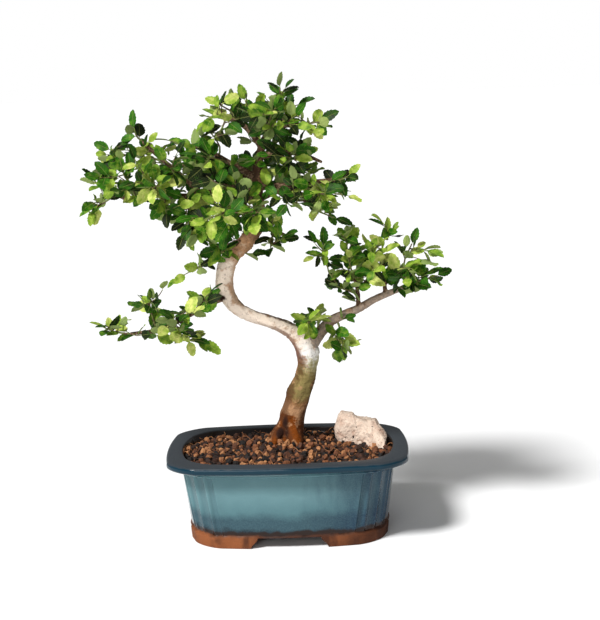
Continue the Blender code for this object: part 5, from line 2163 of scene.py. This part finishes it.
        def put(x: float, y: float, t: float, s: float, drop: float) -> int:
            """Add one point of the blade.

            Args:
                x: Place along the leaf.
                y: Place across it.
                t: Share of the length.
                s: Share of half the width.
                drop: How far it lies below the face.

            Returns:
                Number of the point.
            """
            half = abs(y) / self.leaf_half_width
            z = shape.fold * abs(y) - shape.dome * self.leaf_half_width * half * half - drop
            z -= shape.droop * span * t * t
            z += shape.wave * span * math.sin(2.6 * math.pi * t) * s
            z += shape.twist * y * t
            points.append(Vector((x, y, z)))
            maps.append((t, 0.5 + 0.5 * s))
            return len(points) - 1

        columns: list[list[int]] = []
        for k, t in enumerate(stations):
            x = self.petiole + span * t
            if k in (0, len(stations) - 1):
                columns.append([put(x, 0.0, t, 0.0, 0.0)] * 6)
                continue
            tooth = k % 2 == 1
            body = math.sin(math.pi * t**0.82) ** 0.72 * (1 - 0.1 * t)
            wide = self.leaf_half_width * shape.width * body * (0.98 if tooth else 0.86)
            lean = 0.6 * span * (0.095 if tooth else 0.06)
            row = [put(x + lean * abs(s), s * wide, t, s, 0.0 if s else 0.12 * MM) for s in (-1, -0.5, 0, 0.5, 1)]
            row.append(put(x, 0.0, t, 0.0, 0.5 * MM * (1 - 0.6 * t)))
            columns.append(row)
        faces: list[tuple[int, ...]] = []
        under: list[float] = []
        for low, high in zip(columns, columns[1:]):
            for c in range(4):
                quad = dict.fromkeys((low[c], low[c + 1], high[c + 1], high[c]))
                faces.append(tuple(quad))
                under.append(0.0)
            for a, b in ((low[5], low[0]), (low[4], low[5])):
                c, d = (high[0], high[5]) if a == low[5] else (high[5], high[4])
                quad = dict.fromkeys((a, b, c, d))
                faces.append(tuple(quad))
                under.append(1.0)
        blade = len(faces)
        ends = (Vector((-0.2 * MM, 0, 0)), Vector((self.petiole + 1.2 * MM, 0, -0.25 * MM)))
        stalk, skin = tube(list(zip(ends, (0.42 * MM, 0.3 * MM))), 3)
        base = len(points)
        points += stalk
        maps += [(0.0, 0.5)] * len(stalk)
        faces += [tuple(base + i for i in face) for face in skin]
        under += [0.0] * (len(faces) - blade)
        mesh = mesh_of(name, points, faces)
        layer = mesh.uv_layers.new(name="blade")
        for loop in mesh.loops:
            layer.data[loop.index].uv = maps[loop.vertex_index]
        mark = mesh.attributes.new("under", "FLOAT", "FACE")
        mark.data.foreach_set("value", under)
        turned_out(mesh)
        mesh.shade_smooth()
        mesh.set_sharp_from_angle(angle=math.radians(self.sharp_degrees))
        return bpy.data.objects.new(name, mesh)

    def growing(self) -> GrowthTree:
        """The tree that turns a spray's lines into twigs and its loose points into leaves.

        Returns:
            The tree.
        """
        tree = GrowthTree("growing")
        forms = tree.ask("Leaf forms", "Collection")
        sides = tree.ask("Twig sides", "Int")
        leaf = tree.ask("Leaf finish", "Material")
        bark = tree.ask("Twig finish", "Material")
        parted = tree.step(
            "GeometryNodeSeparateGeometry",
            {"Geometry": tree.start.outputs["Geometry"], "Selection": tree.named("is_leaf", "BOOLEAN")},
            domain="POINT",
        )
        leaves = tree.laid(
            parted, forms, tree.named("form", "INT"), tree.named("turn", "FLOAT_VECTOR"), tree.named("size")
        )
        lines = tree.step("GeometryNodeMeshToCurve", {"Mesh": parted.node.outputs["Inverted"]})
        profile = tree.step("GeometryNodeCurvePrimitiveCircle", {"Resolution": sides, "Radius": 1.0})
        twigs = tree.step(
            "GeometryNodeCurveToMesh",
            {"Curve": lines, "Profile Curve": profile, "Scale": tree.named("thick"), "Fill Caps": True},
        )
        smooth = tree.step("GeometryNodeSetShadeSmooth", {"Geometry": twigs})
        both = tree.step("GeometryNodeJoinGeometry", {})
        for part in (leaves, tree.kept(smooth, "is_twig", True, "BOOLEAN", "FACE")):
            tree.group.links.new(part, both.node.inputs[0])
        real = tree.step("GeometryNodeRealizeInstances", {"Geometry": both})
        tree.close(tree.dressed(tree.dressed(real, leaf), bark, Selection=tree.named("is_twig", "BOOLEAN")))
        return tree

    def spray_points(self, name: str, twigs: list[Path], leaves: list[Matrix], draw: random.Random) -> Object:
        """Lines of the twigs and loose points of the leaves of one spray, with what the tree reads.

        Args:
            name: Name of the piece.
            twigs: Twig paths.
            leaves: Leaf places.
            draw: Seeded draws for form and tint.

        Returns:
            The object that the tree starts from.
        """
        points: list[Vector] = []
        edges: list[tuple[int, int]] = []
        thick: list[float] = []
        for path in twigs:
            base = len(points)
            points += [place for place, _ in path]
            thick += [radius for _, radius in path]
            edges += [(base + i, base + i + 1) for i in range(len(path) - 1)]
        count = len(points)
        turns = [(0.0, 0.0, 0.0)] * count
        sizes = [0.0] * count
        forms = [0] * count
        tints = [self.twig_tint] * count
        # Painted shade and light: a spray far from the crown's middle gets paler leaves.
        away = (leaves[0].translation - self.shade_middle).length / self.shade_reach
        mood = draw.gauss(*self.mood) + self.outer_light * min(1.0, away)
        for matrix in leaves:
            points.append(matrix.translation)
            thick.append(0.0)
            turns.append(tuple(matrix.to_euler("XYZ")))
            sizes.append(matrix.to_scale().x)
            forms.append(draw.randrange(len(LeafForm)))
            tints.append(min(self.palest, max(0.0, draw.gauss(mood, self.tint_spread))))
        mesh = mesh_of(name, points, [], edges)
        columns = (
            ("thick", "FLOAT", "value", thick), ("size", "FLOAT", "value", sizes), ("tint", "FLOAT", "value", tints),
            ("form", "INT", "value", forms),
            ("turn", "FLOAT_VECTOR", "vector", [part for turn in turns for part in turn]),
            ("is_leaf", "BOOLEAN", "value", [i >= count for i in range(len(points))]),
        )
        for key, kind, part, values in columns:
            mesh.attributes.new(key, kind, "POINT").data.foreach_set(part, values)
        return shown(name, mesh)

    def build(self, shop: Workshop, wood: Wood) -> None:
        """All sprays.

        Args:
            shop: Where finished pieces are handed over.
            wood: The wood that they grow from.
        """
        twigs, frames, crowd = self.lay_out(wood)
        fixed = wood.solid_trees()
        forms = group_of("leaf_forms", [
            self.leaf_mesh(f"leaf_form_{number}", form.value) for number, form in enumerate(LeafForm)
        ])
        tree = self.growing()
        leaf, skin = LeafFinish().make(), TwigFinish().make()
        finder = self.starts(twigs)
        middles = [Vector(spray[2]) for spray in SPRAYS]
        paths = [[twig] for twig in twigs]
        for row in SHOOTS:
            path, leaves, tests = self.shoot(finder, row, crowd, fixed)
            if not leaves:
                continue
            nearest = min(range(len(middles)), key=lambda number: (middles[number] - Vector(row[:3])).length)
            paths[nearest].append(path)
            frames[nearest] += leaves
            for matrix, test in zip(leaves, tests):
                crowd.add(matrix.translation, test)
        for number, (lines, leaves) in enumerate(zip(paths, frames)):
            draw = random.Random(self.shoot_seed + number)
            piece = self.spray_points(f"foliage_{number + 1:02d}", lines, leaves, draw)
            tree.carry_out(piece, {
                "Leaf forms": forms, "Twig sides": self.drawn_sides, "Leaf finish": leaf, "Twig finish": skin,
            })
            shop.hand_over(piece, Slot.LEAF, f"spray_{number + 1:02d}")
        LOG.info("%d leaves in all", sum(len(leaves) for leaves in frames))
        discard(forms)


@dataclass
class Studio:
    """Floor, light and camera."""

    camera_place: tuple[float, float, float] = (21.354 * MM, -1213.015 * MM, 374.820 * MM)
    pitch: float = -0.1523103
    pan: float = 0.0061141
    roll: float = 0.0302434
    lens: float = 84.6
    sensor: float = 36.0
    sun_from: tuple[float, float, float] = (-0.7, -0.72, 1.05)
    sun_strength: float = 4.1
    sun_angle: float = 14.0
    fill_place: tuple[float, float, float] = (-0.3, -1.35, 0.32)
    fill_power: float = 5.0
    fill_size: float = 0.6
    fill_aim: float = 0.15
    glow: float = 0.24
    sky: float = 1.0
    floor_reach: float = 60.0

    def build_floor(self) -> None:
        """The pale floor, wide enough to reach the horizon."""
        reach = self.floor_reach
        corners = [Vector((x, y, 0.0)) for x, y in ((-reach, -reach), (reach, -reach), (reach, reach), (-reach, reach))]
        floor = shown("floor", mesh_of("floor", corners, [(0, 1, 2, 3)]))
        dress(floor.data, FloorFinish().make())

    def lamp(self, name: str, kind: str, power: float, back: Vector) -> Object:
        """A light of the scene.

        Args:
            name: Its name.
            kind: Blender's name of its kind.
            power: Its strength.
            back: From what it lights towards itself.

        Returns:
            The light.
        """
        made = shown(name, bpy.data.lights.new(name, kind))
        made.data.energy = power
        made.rotation_euler = back.to_track_quat("Z", "Y").to_euler()
        return made

    def build_light(self) -> None:
        """Soft daylight from the front left, and a pale surround."""
        sun = self.lamp("key_light", "SUN", self.sun_strength, Vector(self.sun_from))
        sun.data.angle = math.radians(self.sun_angle)
        aim = Vector(self.fill_place) - Vector((0.0, 0.0, self.fill_aim))
        panel = self.lamp("fill_light", "AREA", self.fill_power, aim)
        panel.data.size = self.fill_size
        panel.location = self.fill_place
        panel.visible_camera = False
        world = bpy.data.worlds.new("surround")
        bpy.context.scene.world = world
        world.use_nodes = True
        nodes, links = world.node_tree.nodes, world.node_tree.links
        both = nodes.new("ShaderNodeMixShader")
        links.new(nodes.new("ShaderNodeLightPath").outputs["Is Camera Ray"], both.inputs[0])
        lit, shine = nodes["Background"], nodes.new("ShaderNodeBackground")
        for number, (light, strength) in enumerate(((lit, self.glow), (shine, self.sky)), 1):
            light.inputs["Color"].default_value = (1.0, 1.0, 1.0, 1.0)
            light.inputs["Strength"].default_value = strength
            links.new(light.outputs[0], both.inputs[number])
        links.new(both.outputs[0], nodes["World Output"].inputs["Surface"])

    def build_camera(self, carry: Vector) -> None:
        """The camera at the photograph's viewing angle.

        Args:
            carry: From the pot's centre to the frame's origin.
        """
        turn = (
            Matrix.Rotation(self.pan, 3, "Z") @ Matrix.Rotation(self.pitch, 3, "X") @ Matrix.Rotation(self.roll, 3, "Y")
        )
        right, ahead, up = turn.col[0], turn.col[1], turn.col[2]
        place = Matrix((right, up, -ahead)).transposed().to_4x4()
        place.translation = Vector(self.camera_place) + carry
        data = bpy.data.cameras.new("camera")
        data.lens = self.lens
        data.sensor_width = self.sensor
        camera = shown("camera", data)
        camera.matrix_world = place
        bpy.context.scene.camera = camera


def dress_screens() -> None:
    """Give both drainage screens their finish."""
    finish = ScreenFinish().make()
    for name in ("screen_left", "screen_right"):
        dress(frame["nodes"][name].data, finish)
        LOG.info("%s: finish only", name)


def main() -> None:
    """Build the object, the floor, the light and the camera."""
    logging.basicConfig(level=logging.INFO, format="%(message)s")
    low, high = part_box("pot")
    shop = Workshop(Vector((0.5 * (low.x + high.x), 0.5 * (low.y + high.y), 0.0)))
    studio = Studio()
    studio.build_floor()
    studio.build_light()
    studio.build_camera(shop.carry)
    bpy.context.scene.view_settings.view_transform = "Standard"
    pot, rock, wood = Pot(), Rock(), Wood()
    pot.build(shop)
    dress_screens()
    rock.build(shop)
    Soil().build(shop, pot, rock)
    wood.build(shop)
    Canopy().build(shop, wood)


if __name__ == "__main__":
    main()
